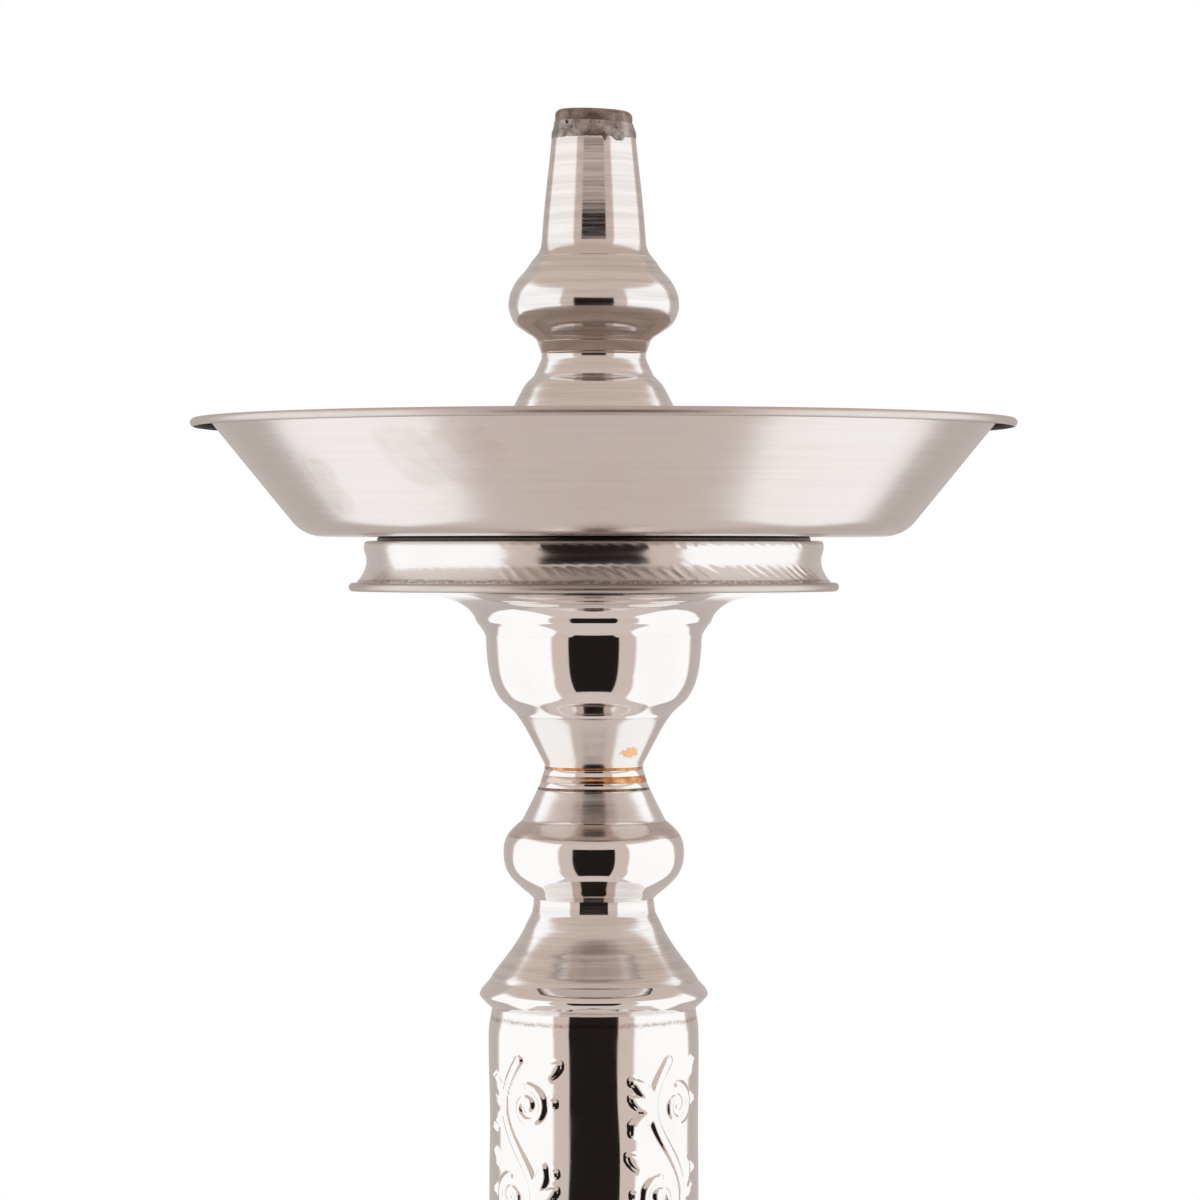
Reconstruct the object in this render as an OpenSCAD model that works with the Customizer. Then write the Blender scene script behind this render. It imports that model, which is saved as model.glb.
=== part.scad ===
// Water-pipe stem in nickel-plated brass, with its loose ash tray, in millimetres.
// The origin is on the stem's axis, at the plane where the rubber bung's flange rests on the
// vase. +Z is up, -Y is the front and the hose port points to +X.

/* [Metal] */
// Wall of the spun shells
wall = 0.8; // [0.6:0.1:1.1]
// Wall of the hose port and the vase plug
tube_wall = 1.2; // [0.9:0.1:1.6]

/* [Air pipe and downstem] */
// Outer radius of the air pipe
pipe_r = 9.8; // [8:0.1:11.8]
// Wall of the air pipe
pipe_wall = 1.5; // [1:0.1:2]
// Height of the pipe that stands out of the solder at the bowl end
pipe_tip_h = 2.5; // [1:0.1:4]
// Wall of the downstem
downstem_wall = 0.9; // [0.7:0.1:1.3]
// How far the downstem hangs below the vase plane
downstem_drop = 230; // [160:5:280]
// Length of the downstem's socket over the air pipe
socket_h = 18; // [12:1:22]

/* [Bowl port] */
// Height of the tapered port, foot to solder
port_h = 30.1; // [24:0.1:38]
// Radius of the port's flared foot
port_foot_r = 14.9; // [14:0.1:17]
// Radius of the port just above its foot
port_base_r = 13.3; // [12.9:0.1:13.6]
// Height of the solder ring
solder_h = 4.9; // [3:0.1:8]
// Gap between the pipe and the port's mouth
port_gap = 0.1; // [0.05:0.05:0.3]

/* [Upper bulb and neck] */
// Height of the bulb
bulb_h = 21.3; // [17:0.1:26]
// Largest radius of the bulb
bulb_r = 21.6; // [19:0.1:23]
// Radius where the bulb meets the neck band
bulb_foot_r = 14.3; // [13.9:0.1:16]
// Height of the neck band
band_h = 2.8; // [2:0.1:5]
// Radius where the band meets the neck skirt
neck_r = 13.25; // [12.9:0.05:13.8]
// Height of the neck skirt
neck_skirt_h = 46.6; // [38:0.1:56]
// Radius of the neck skirt at its foot
neck_foot_r = 23.5; // [22:0.1:28]

/* [Ash tray] */
// Outer radius of the tray's rim
tray_r = 104.5; // [87:0.1:126]
// Height of the tray
tray_h = 29.8; // [24:0.1:36]
// Lean of the tray's wall from upright, in degrees
tray_lean = 39.2; // [30:0.1:45]
// Radius of the bend between the tray's floor and wall
tray_bend_r = 10; // [5:0.5:13]
// Radius of the wired edge bead
bead_r = 1.1; // [0.9:0.1:1.6]
// Width of the rim from wall to edge
lip_w = 5.3; // [4:0.1:8]
// Play between the tray's hole and the widest thing it passes
tray_play = 3; // [2.7:0.1:5]
// How far the loose tray lies off the stem's axis
tray_shift = 2.5; // [0:0.1:2.5]

/* [Tray seat] */
// Outer radius of the seat's top edge
seat_r = 58.2; // [54:0.1:70]
// Height of the seat's wall
seat_h = 11.95; // [8:0.05:16]
// How far the seat's wall is drawn in at its middle
seat_waist = 0.7; // [0.2:0.1:1.5]
// How far the seat's wall flares out at its foot
seat_flare = 1.7; // [1:0.1:3]
// Width of the rolled top edge
seat_roll_w = 2.6; // [2:0.1:4]
// How far the raised middle stands over the top edge
boss_h = 1.1; // [0.5:0.1:2]
// Width of the raised middle that the tray rests on
boss_w = 24.5; // [12:0.5:27]
// Radius of the hemmed edge bead
hem_r = 1.1; // [0.9:0.1:1.4]

/* [Seat flange and cup] */
// Height from the cup's rim to the flange's outer edge
flange_h = 11.2; // [9:0.1:14]
// Radius where the flange turns down into its throat
flange_turn_r = 37; // [34:0.5:44]
// Height of the cup
cup_h = 20.5; // [16:0.1:25]
// Radius of the cup's rim
cup_r = 27.4; // [23:0.1:31]
// Height of the cone under the cup
cone_h = 12.7; // [10:0.1:16]
// Radius where the cup meets its cone
cone_r = 19.3; // [17:0.1:21]

/* [Waist] */
// How far the waist stands off the air pipe
waist_step = 2.65; // [2.2:0.05:3.2]
// How far the waist widens towards the knop
waist_flare = 1.8; // [1.2:0.1:2.4]
// Height of the upper ring
ring_upper_h = 1.6; // [1:0.1:3]
// Height of the lower ring
ring_lower_h = 1.4; // [1:0.1:3]
// Height of the wide brazed joint between the rings
braze_wide_h = 1.6; // [1:0.1:3]
// Height of the two thin brazed joints
braze_thin_h = 0.6; // [0.4:0.1:1]

/* [Knops and skirts] */
// Height of the cone on top of the upper knop
knop_cone_h = 8; // [6:0.1:11]
// Radius where that cone meets the knop
knop_top_r = 18.35; // [17.5:0.05:20]
// Height of a knop
knop_h = 19.6; // [16:0.1:24]
// Largest radius of a knop
knop_r = 22.9; // [21:0.1:27]
// Radius of the neck between knop and skirt
knop_foot_r = 15.2; // [13.9:0.1:17]
// Height of a flared skirt
skirt_h = 20.8; // [17:0.1:25]
// Radius of a skirt at its wide end
skirt_r = 26.5; // [25.5:0.1:27.5]

/* [Sleeve and edge rings] */
// Height of an edge ring
edge_h = 6.9; // [5:0.1:9]
// How far an edge ring stands out past the sleeve
edge_proud = 2.4; // [1.6:0.1:4]
// Length of the long sleeve
sleeve_h = 160; // [120:1:192]
// Radius of the long sleeve
sleeve_r = 26.5; // [26:0.1:27.5]
// How far the sleeve is necked in at its two ends
sleeve_neck = 0.65; // [0.2:0.05:0.8]
// Length of that necked stretch
sleeve_neck_h = 5; // [3:0.5:8]

/* [Hub and hose port] */
// Radius of the hub
hub_r = 27; // [25:0.1:32]
// Height of the hub's lower half
hub_lower_h = 25; // [21:0.1:30]
// Height of the hub's neck, which grips the vase plug
hub_neck_h = 4; // [3:0.1:6]
// Height of the hub's upper half
hub_upper_h = 27; // [25:0.1:32]
// Height of the belt that covers the hub's joint
belt_h = 3.6; // [2.4:0.1:5]
// How far the belt stands out
belt_proud = 1.3; // [0.8:0.1:2]
// Thickness of the washer that seals the hub's top
seal_t = 1.2; // [0.8:0.1:2]
// Radius of the bore that takes the hose
hose_bore_r = 9.5; // [8:0.1:9.9]
// Distance from the hub's centre to the port's mouth
hose_reach = 62; // [52:0.5:74]
// Rise of the hose port over the horizontal, in degrees
hose_rise = 28; // [24:1:32]
// Width of the lip round the port's mouth
lip_proud = 2.3; // [1:0.1:3]
// Length of that lip
lip_h = 5; // [3:0.1:8]

/* [Base] */
// Radius of the bell and of the plate under it
bell_r = 31; // [29:0.1:37]
// Height of the bell
bell_h = 18.8; // [15:0.1:23]
// Thickness of the plate under the bell
plate_t = 1.2; // [0.8:0.1:2]
// Bore radius of the vase plug
plug_bore_r = 16.3; // [15.4:0.1:16.6]
// How far the plug reaches below the vase plane
plug_drop = 34; // [28:0.5:41]
// Outer radius of the rubber bung
bung_r = 20; // [19:0.1:24]
// Length of the rubber bung below its flange
bung_h = 26; // [21:0.5:31]
// Radius of the bung's flange
bung_flange_r = 27; // [25:0.1:28.5]
// Thickness of the bung's flange
bung_flange_h = 4; // [3:0.1:6]

/* [Hidden] */

$fn = 96;
steps = 3;          // straight steps between two stations of a curved wall
arc_steps = 8;      // straight steps of a round bend
past = 1;           // how far a cutter runs past what it cuts

// Heights of the stack, from the vase plane up
z_plate = bung_flange_h;
z_bell = z_plate + plate_t;
z_hub = z_bell + bell_h;
z_belt = z_hub + hub_lower_h;
z_seal = z_belt + hub_upper_h;
z_low_knop = z_seal + seal_t;
z_low_skirt = z_low_knop + knop_h;
z_low_edge = z_low_skirt + skirt_h;
z_sleeve = z_low_edge + edge_h;
z_edge = z_sleeve + sleeve_h;
z_skirt = z_edge + edge_h;
z_knop = z_skirt + skirt_h;
z_knop_cone = z_knop + knop_h;
z_braze_low = z_knop_cone + knop_cone_h;
z_ring_low = z_braze_low + braze_thin_h;
z_braze_mid = z_ring_low + ring_lower_h;
z_ring_up = z_braze_mid + braze_wide_h;
z_braze_up = z_ring_up + ring_upper_h;
z_cone = z_braze_up + braze_thin_h;
z_cup = z_cone + cone_h;
z_throat = z_cup + cup_h;
z_flange = z_throat + flange_h;
z_seat = z_flange + wall;
z_seat_top = z_seat + seat_h;
z_boss = z_seat_top + boss_h;
z_neck_band = z_boss + neck_skirt_h;
z_bulb = z_neck_band + band_h;
z_port = z_bulb + bulb_h;
z_solder = z_port + port_h;
z_tip = z_solder + solder_h + pipe_tip_h;

// Radii that follow from the pieces they fit
waist_top_r = pipe_r + waist_step;
waist_low_r = waist_top_r + waist_flare;
port_tip_r = pipe_r + port_gap + wall;
tray_hole_r = max(neck_foot_r, bulb_r) + tray_play;
boss_r = tray_hole_r + boss_w;
hem_outer_r = seat_r + seat_flare + 2*hem_r;
edge_r = sleeve_r + edge_proud;
sleeve_end_r = sleeve_r - sleeve_neck;
edge_bore_r = sleeve_end_r - 1.5*wall;
plug_r = plug_bore_r + tube_wall;
hose_r = hose_bore_r + tube_wall;
hose_inner = hub_r - hose_r/2 - tube_wall;   // distance from the hub's centre to the port's inner end
z_neck_top = z_hub + hub_neck_h;
z_socket = z_neck_top + hub_neck_h;

// The curved walls, each as [share of the height, share of the change in radius] from its foot up
BULB_LOW = [[0, 0], [0.1, 0.1], [0.21, 0.32], [0.32, 0.525], [0.53, 0.83], [0.8, 0.975], [1, 1]];
BULB_HIGH = [[0.26, 0.09], [0.52, 0.33], [0.65, 0.54], [0.8, 0.745], [1, 1]];
KNOP_LOW = [[0, 0], [0.04, 0.05], [0.17, 0.29], [0.375, 0.665], [0.625, 0.92], [0.8, 0.985], [1, 1]];
KNOP_HIGH = [[0.2, 0.02], [0.41, 0.11], [0.61, 0.33], [0.81, 0.64], [1, 1]];
EDGE_LOW = [[0, 0], [0.2, 0.21], [0.6, 0.72], [0.85, 0.95], [1, 1]];
EDGE_HIGH = [[0.25, 0.06], [0.5, 0.3], [0.75, 0.7], [1, 1]];
HUB_LOW = [[0, 0], [0.17, 0.3], [0.42, 0.66], [0.7, 0.91], [1, 1]];
HUB_HIGH = [[0, 0], [0.25, 0.1], [0.5, 0.31], [0.74, 0.63], [0.9, 0.9], [1, 1]];
CUP = [[0, 0], [0.12, 0.3], [0.2, 0.5], [0.35, 0.73], [0.57, 0.9], [0.8, 0.965], [1, 1]];
CUP_CONE = [[0, 0], [0.06, 0.005], [0.18, 0.12], [0.42, 0.335], [0.66, 0.58], [0.9, 0.86], [1, 1]];
KNOP_CONE = [[0, 0], [0.15, 0.2], [0.5, 0.57], [1, 1]];
SKIRT = [[0, 0], [0.15, 0.19], [0.29, 0.39], [0.44, 0.58], [0.6, 0.76], [0.75, 0.885], [0.88, 0.98], [1, 1]];
NECK_SKIRT = [
    [0, 0], [0.3, 0], [0.45, 0.03], [0.6, 0.14], [0.71, 0.31], [0.78, 0.47],
    [0.84, 0.65], [0.875, 0.81], [0.95, 0.97], [1, 1]
];
// [share of the height, share of the flare, share of the drawn-in waist]
SEAT_WALL = [[0, 1, 0], [0.15, 0.3, 0.4], [0.32, 0, 0.8], [0.5, 0, 1], [0.72, 0, 0.6], [1, 0, 0]];
BELL = [[0, 0], [0.12, 0.02], [0.3, 0.22], [0.55, 0.62], [0.8, 0.93], [1, 1]];
PORT_FLARE = [[0, 0], [0.33, 0.47], [0.66, 0.78], [1, 1]];
PORT_TAPER = [[0.13, 0.1], [0.36, 0.26], [0.58, 0.5], [0.8, 0.755], [1, 1]];
THROAT = [[0, 0], [0.17, 0.03], [0.42, 0.17], [0.68, 0.3], [0.85, 0.5], [0.95, 0.75], [1, 1]];

// Turn a list round
function reverse(v) = [for (i = [len(v) - 1:-1:0]) v[i]];
// Points [radius, height] of a wall that goes from r0 to r1 over h, from height z
function rise(r0, r1, z, h, shares) = [for (s = shares) [r0 + (r1 - r0)*s[1], z + h*s[0]]];
// One point of the smooth curve that passes through b and c, at t from 0 to 1
function between(a, b, c, d, t) =
    0.5*(2*b + (c - a)*t + (2*a - 5*b + 4*c - d)*t*t + (3*b - a - 3*c + d)*t*t*t);
// Smooth curve through a list of points
function smooth(p) = concat(
    [for (i = [0:len(p) - 2], k = [0:steps - 1])
        between(p[max(i - 1, 0)], p[i], p[i + 1], p[min(i + 2, len(p) - 1)], k/steps)],
    [p[len(p) - 1]]
);
// Arc about [r, z] from angle a0 to a1
function arc(r, z, radius, a0, a1) = [
    for (k = [0:arc_steps]) let (a = a0 + (a1 - a0)*k/arc_steps) [r + radius*cos(a), z + radius*sin(a)]
];
// Unit direction of a curve at point i
function heading(c, i) =
    let (d = c[min(i + 1, len(c) - 1)] - c[max(i - 1, 0)]) d/norm(d);
// The same curve moved to the left of its direction by t
function beside(c, t) = [for (i = [0:len(c) - 1]) let (d = heading(c, i)) c[i] + t*[-d[1], d[0]]];
// The inner face of an upright wall: each point moves straight in, so the two ends stay level
function lining(c, t) = [for (i = [0:len(c) - 1]) let (d = heading(c, i)) [c[i][0] - t/abs(d[1]), c[i][1]]];

// A turned solid with this outline
module turned(outline) rotate_extrude() polygon(outline);
// A spun shell whose outer face follows this curve, foot first, and whose ends are level
module shell(curve, t = wall) turned(concat(curve, reverse(lining(curve, t))));
// A plain ring with the radii given at its foot and its top
module ring(bore, r0, r1, z, h) turned([[bore, z], [r0, z], [r1, z + h], [bore, z + h]]);
// A straight tube between two heights
module tube(outer, bore, z0, z1) ring(bore, outer, outer, z0, z1 - z0);

module air_pipe() color("saddlebrown")
    difference() {
        tube(pipe_r, pipe_r - pipe_wall, z_socket + downstem_wall, z_tip);
        // worn round edge at the bowl end
        turned([
            [pipe_r + past, z_tip - pipe_wall/2], [pipe_r, z_tip - pipe_wall/2],
            [pipe_r - pipe_wall/2, z_tip], [pipe_r - pipe_wall/2, z_tip + past],
            [pipe_r + past, z_tip + past]
        ]);
    }

module port_solder() color("gray")
    turned([
        [pipe_r, z_solder], [port_tip_r, z_solder], [port_tip_r - wall/4, z_solder + solder_h*0.4],
        [pipe_r + wall/2, z_solder + solder_h*0.85], [pipe_r + wall/4, z_solder + solder_h],
        [pipe_r, z_solder + solder_h]
    ]);

module bowl_port() color("silver") {
    flare_h = port_h/10;
    shell(smooth(concat(
        rise(port_foot_r, port_base_r, z_port, flare_h, PORT_FLARE),
        rise(port_base_r, port_tip_r, z_port + flare_h, port_h - flare_h, PORT_TAPER)
    )));
}

module upper_bulb() color("silver")
    shell(smooth(concat(
        rise(bulb_foot_r, bulb_r, z_bulb, 0.45*bulb_h, BULB_LOW),
        rise(bulb_r, port_foot_r, z_bulb + 0.45*bulb_h, 0.55*bulb_h, BULB_HIGH)
    )));

module neck_band() color("rosybrown")
    ring(neck_r - 1.5*wall, neck_r, bulb_foot_r, z_neck_band, band_h);

module neck_skirt() color("silver")
    shell(smooth(rise(neck_foot_r, neck_r, z_boss, neck_skirt_h, NECK_SKIRT)));

module ash_tray() color("lightgray")
    translate([tray_shift, 0, z_boss]) {
        bead_c = tray_r - bead_r;
        top = tray_h - wall/2;                       // middle of the metal at the rim
        wall_top_r = tray_r - lip_w;
        floor_r = wall_top_r - (tray_h - wall)*tan(tray_lean);
        turn = 90 - tray_lean;                       // angle that the metal turns through at each bend
        reach = tray_bend_r*tan(turn/2);             // from the corner to where the floor bend starts
        rim_bend_r = 2*bead_r;
        rim_reach = rim_bend_r*tan(turn/2);
        middle = concat(
            [[tray_hole_r, wall/2]],
            arc(floor_r - reach, wall/2 + tray_bend_r, tray_bend_r, -90, -90 + turn),
            arc(wall_top_r + rim_reach, top - rim_bend_r, rim_bend_r, 90 + turn, 90),
            [[bead_c, top]]
        );
        turned(concat(beside(middle, -wall/2), reverse(beside(middle, wall/2))));
        // edge bead, kept under the rim so that the two only share their meeting faces
        rotate_extrude() difference() {
            translate([bead_c, tray_h - bead_r]) circle(bead_r);
            translate([bead_c - 2*bead_r, tray_h - wall]) square([2*bead_r, wall + past]);
        }
    }

module tray_seat() color("silver") {
    foot_r = seat_r + seat_flare;
    roll_r = 1.2*wall;
    curve = concat(
        // the foot stands upright in the flange's hem
        [[foot_r, z_seat]],
        smooth([for (s = SEAT_WALL) [
            seat_r + seat_flare*s[1] - seat_waist*s[2], z_seat + hem_r + (seat_h - hem_r - roll_r)*s[0]
        ]]),
        arc(seat_r - roll_r, z_seat_top - roll_r, roll_r, 90/arc_steps, 90),
        [[seat_r - seat_roll_w, z_seat_top]]
    );
    turned(concat(curve, reverse(beside(curve, wall))));
}

module seat_plate() color("darkgray") {
    rim_r = seat_r - 1.6*wall;
    step = 1.2*wall;
    turned([
        [pipe_r, z_boss - wall], [boss_r - step, z_boss - wall], [boss_r, z_seat_top - 2*wall],
        [rim_r, z_seat_top - 2*wall], [rim_r, z_seat_top - wall], [boss_r + step, z_seat_top - wall],
        [boss_r, z_boss], [pipe_r, z_boss]
    ]);
}

module seat_flange() color("silver") {
    hem_c = hem_outer_r - hem_r;
    curve = smooth(concat(
        rise(cup_r, flange_turn_r, z_throat, 0.9*flange_h, THROAT),
        [[seat_r, z_flange]]
    ));
    rotate_extrude() {
        polygon(concat(curve, [[hem_c, z_flange], [hem_c, z_seat]], reverse(beside(curve, wall))));
        // hemmed edge, folded round the foot of the seat's wall
        translate([hem_c, z_flange + hem_r]) circle(hem_r);
    }
}

module cup() color("silver")
    shell(smooth(rise(cone_r, cup_r, z_cup, cup_h, CUP)));

module cup_cone() color("silver")
    shell(smooth(rise(waist_top_r, cone_r, z_cone, cone_h, CUP_CONE)));

// Radius of the waist at height z, between its two ends
function waist_at(z) = waist_low_r + (waist_top_r - waist_low_r)*pow((z - z_braze_low)/(z_cone - z_braze_low), 0.8);
// One ring of the waist, on the air pipe
module waist_piece(z, h) ring(pipe_r, waist_at(z), waist_at(z + h), z, h);

module braze_upper() color("peru") waist_piece(z_braze_up, braze_thin_h);
module waist_ring_upper() color("silver") waist_piece(z_ring_up, ring_upper_h);
module braze_middle() color("peru") waist_piece(z_braze_mid, braze_wide_h);
module waist_ring_lower() color("silver") waist_piece(z_ring_low, ring_lower_h);
module braze_lower() color("peru") waist_piece(z_braze_low, braze_thin_h);

module knop_cone() color("silver")
    shell(smooth(rise(knop_top_r, waist_low_r, z_knop_cone, knop_cone_h, KNOP_CONE)));

// Outline of a knop from its foot to its top
function knop_curve(z, top_r, low_share) = smooth(concat(
    rise(knop_foot_r, knop_r, z, low_share*knop_h, KNOP_LOW),
    rise(knop_r, top_r, z + low_share*knop_h, (1 - low_share)*knop_h, KNOP_HIGH)
));

module upper_knop() color("silver")
    shell(knop_curve(z_knop, knop_top_r, 0.62));

// Outline of a skirt that stands with its wide end down
function skirt_curve(z) = smooth(rise(skirt_r, knop_foot_r, z, skirt_h, SKIRT));
// Outline of an edge ring, from the sleeve to the skirt
function edge_curve(z) = smooth(concat(
    rise(sleeve_end_r, edge_r, z, 0.56*edge_h, EDGE_LOW),
    rise(edge_r, skirt_r, z + 0.56*edge_h, 0.44*edge_h, EDGE_HIGH)
));
module edge_ring(z) turned(concat(edge_curve(z), [[edge_bore_r, z + edge_h], [edge_bore_r, z]]));
// Copy of the upper end, turned over so that it ends the sleeve from below
module turned_over(z_low, z_high) translate([0, 0, z_low + z_high]) mirror([0, 0, 1]) children();

module upper_skirt() color("silver") shell(skirt_curve(z_skirt));
module upper_edge_ring() color("silver") edge_ring(z_edge);
module lower_edge_ring() color("silver") turned_over(z_low_edge, z_sleeve) edge_ring(z_low_edge);
module lower_skirt() color("silver")
    turned_over(z_low_skirt, z_low_edge) shell(skirt_curve(z_low_skirt));

module sleeve() color("silver")
    shell(concat(
        smooth([
            [sleeve_end_r, z_sleeve], [sleeve_r - 0.3*sleeve_neck, z_sleeve + 0.5*sleeve_neck_h],
            [sleeve_r, z_sleeve + sleeve_neck_h]
        ]),
        smooth([
            [sleeve_r, z_edge - sleeve_neck_h], [sleeve_r - 0.3*sleeve_neck, z_edge - 0.5*sleeve_neck_h],
            [sleeve_end_r, z_edge]
        ])
    ));

module lower_knop() color("silver")
    shell(knop_curve(z_low_knop, knop_foot_r, 0.5));

module hub_seal() color("peru")
    tube(knop_foot_r, pipe_r, z_seal, z_low_knop);

// What stands on the hose port's axis: +Z of the child runs out through the mouth
module on_hose_axis() translate([0, 0, z_belt]) rotate([0, 90 - hose_rise, 0]) children();

module hub_upper() color("silver")
    difference() {
        shell(concat(
            [[hub_r, z_belt]],
            smooth(rise(hub_r, knop_foot_r, z_belt + belt_h/2, hub_upper_h - belt_h/2, HUB_HIGH))
        ), tube_wall);
        on_hose_axis() cylinder(r = hose_r, h = hose_reach);
    }

module hub_lower() color("silver")
    shell(concat(
        [[plug_r + tube_wall, z_hub], [plug_r + tube_wall, z_neck_top - tube_wall]],
        smooth(rise(plug_r + tube_wall, hub_r, z_neck_top, z_belt - belt_h/2 - z_neck_top, HUB_LOW)),
        [[hub_r, z_belt]]
    ), tube_wall);

module hub_belt() color("silver")
    tube(hub_r + belt_proud, hub_r, z_belt - belt_h/2, z_belt + belt_h/2);

module hose_port() color("silver")
    on_hose_axis() difference() {
        translate([0, 0, hose_inner]) cylinder(r = hose_r, h = hose_reach - hose_inner);
        translate([0, 0, hose_inner - past]) cylinder(r = hose_bore_r, h = hose_reach);
    }

module hose_port_lip() color("silver")
    on_hose_axis() turned(concat(
        [[hose_r, hose_reach - lip_h]],
        [for (k = [1:arc_steps - 1]) let (a = 180*k/arc_steps)
            [hose_r + lip_proud*sin(a), hose_reach - lip_h/2*(1 + cos(a))]],
        [[hose_r, hose_reach]]
    ));

module base_bell() color("silver")
    shell(smooth(rise(bell_r, plug_r + tube_wall, z_bell, bell_h, BELL)), tube_wall);

module base_plate() color("silver")
    tube(bell_r, plug_r, z_plate, z_bell);

module vase_plug() color("silver")
    tube(plug_r, plug_bore_r, -plug_drop, z_neck_top - tube_wall);

module vase_bung() color("dimgray")
    turned([
        [plug_r, -bung_h], [bung_r, -bung_h], [bung_r, 0], [bung_flange_r, 0],
        [bung_flange_r, bung_flange_h], [plug_r, bung_flange_h]
    ]);

module downstem() color("silver") {
    bore_r = pipe_r - downstem_wall;
    turned([
        [bore_r, -downstem_drop], [pipe_r, -downstem_drop], [pipe_r, z_socket - downstem_wall],
        [pipe_r + downstem_wall, z_socket], [pipe_r + downstem_wall, z_socket + socket_h],
        [pipe_r, z_socket + socket_h], [pipe_r, z_socket + downstem_wall], [bore_r, z_socket + downstem_wall]
    ]);
}

air_pipe();
port_solder();
bowl_port();
upper_bulb();
neck_band();
neck_skirt();
ash_tray();
tray_seat();
seat_plate();
seat_flange();
cup();
cup_cone();
braze_upper();
waist_ring_upper();
braze_middle();
waist_ring_lower();
braze_lower();
knop_cone();
upper_knop();
upper_skirt();
upper_edge_ring();
sleeve();
lower_edge_ring();
lower_skirt();
lower_knop();
hub_seal();
hub_upper();
hub_belt();
hub_lower();
hose_port();
hose_port_lip();
base_bell();
base_plate();
vase_plug();
vase_bung();
downstem();
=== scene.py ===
"""Looks of a nickel-plated water-pipe stem with its loose ash tray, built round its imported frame.

Lengths in the dataclasses are millimetres and Blender's are metres. +Z is up and -Y is the front.
"""

import logging
import math
from collections.abc import Callable, Sequence
from dataclasses import dataclass, field, replace
from enum import Enum

import bpy
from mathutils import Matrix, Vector, noise


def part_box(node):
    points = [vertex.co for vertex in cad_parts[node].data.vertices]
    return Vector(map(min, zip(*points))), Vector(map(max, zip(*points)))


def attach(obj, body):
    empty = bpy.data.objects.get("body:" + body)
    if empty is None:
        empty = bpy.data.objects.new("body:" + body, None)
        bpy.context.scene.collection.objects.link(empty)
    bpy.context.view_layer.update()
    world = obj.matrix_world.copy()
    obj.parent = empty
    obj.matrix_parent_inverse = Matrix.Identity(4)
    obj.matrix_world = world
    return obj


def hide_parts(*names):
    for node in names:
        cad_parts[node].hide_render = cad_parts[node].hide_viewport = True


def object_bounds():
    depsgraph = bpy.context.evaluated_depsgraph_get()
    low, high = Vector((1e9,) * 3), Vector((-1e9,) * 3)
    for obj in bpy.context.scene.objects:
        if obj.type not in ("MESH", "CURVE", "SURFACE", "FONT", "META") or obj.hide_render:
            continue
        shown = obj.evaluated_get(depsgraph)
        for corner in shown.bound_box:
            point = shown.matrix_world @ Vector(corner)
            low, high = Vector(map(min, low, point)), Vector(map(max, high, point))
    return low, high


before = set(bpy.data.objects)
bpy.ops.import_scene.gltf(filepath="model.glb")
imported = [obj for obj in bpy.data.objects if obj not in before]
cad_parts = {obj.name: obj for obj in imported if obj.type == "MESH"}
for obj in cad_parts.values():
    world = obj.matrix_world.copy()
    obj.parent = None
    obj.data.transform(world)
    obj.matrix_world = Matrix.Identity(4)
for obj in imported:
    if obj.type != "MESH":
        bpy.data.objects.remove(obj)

CAD_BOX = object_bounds()
MM = 0.001
STEM_STEPS = 144  # facets round a piece of the stem
FINE_STEPS = 192  # facets round a wide or very bright one
SHELL = 0.8  # thickness of the spun shells, in millimetres
HEAVY_SHELL = 1.2  # thickness of the hub's and the base's
PIPE_R = 9.8  # radius of the air pipe, which the rings sit on
CREASE = 32.0  # angle in degrees from which an edge stays sharp
WELD = 0.004 * MM  # points that lie closer than this are one

log = logging.getLogger("stem")

Point = tuple[float, float]
Triple = tuple[float, float, float]
Piece = bpy.types.Object
Tree = bpy.types.NodeTree
Socket = bpy.types.NodeSocket


class Body(Enum):
    """The two bodies that pieces ride on."""

    STEM = "stem"
    TRAY = "tray"


class Slot(Enum):
    """Material slots of the record."""

    POLISHED = "nickel_polished"
    SATIN = "nickel_satin"
    BRUSHED = "nickel_brushed"
    TRAY = "tray_steel"
    BRAZE = "braze"
    SOLDER = "solder"
    PIPE = "copper_pipe"
    RUBBER = "rubber"


# ---------------------------------------------------------------- sections


def flowing(stations: Sequence[Point], pitch: float = 0.35) -> list[Point]:
    """Draws the smooth curve that passes through a few stations.

    Args:
        stations: [height, radius] of each station, in order along the wall.
        pitch: length of each straight step of the result.

    Returns:
        Points [radius, height] along a natural cubic curve.
    """
    count = len(stations)
    knots = [0.0]
    for before, after in zip(stations, stations[1:]):
        knots.append(knots[-1] + math.dist(before, after))
    bends = []
    for axis in (1, 0):
        value = [station[axis] for station in stations]
        lower, right = [0.0] * count, [0.0] * count
        for i in range(1, count - 1):
            back, ahead = knots[i] - knots[i - 1], knots[i + 1] - knots[i]
            jump = (value[i + 1] - value[i]) / ahead - (value[i] - value[i - 1]) / back
            pivot = 2 * (back + ahead) - back * lower[i - 1]
            lower[i] = ahead / pivot
            right[i] = (6 * jump - back * right[i - 1]) / pivot
        bend = [0.0] * count
        for i in range(count - 2, 0, -1):
            bend[i] = right[i] - lower[i] * bend[i + 1]
        bends.append((value, bend))
    points: list[Point] = []
    for i in range(count - 1):
        span = knots[i + 1] - knots[i]
        steps = max(1, round(span / pitch))
        for k in range(steps):
            a = 1 - k / steps
            b = k / steps
            points.append(
                tuple(
                    a * value[i]
                    + b * value[i + 1]
                    + ((a**3 - a) * bend[i] + (b**3 - b) * bend[i + 1]) * span**2 / 6
                    for value, bend in bends
                )
            )
    points.append((stations[-1][1], stations[-1][0]))
    return points


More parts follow.
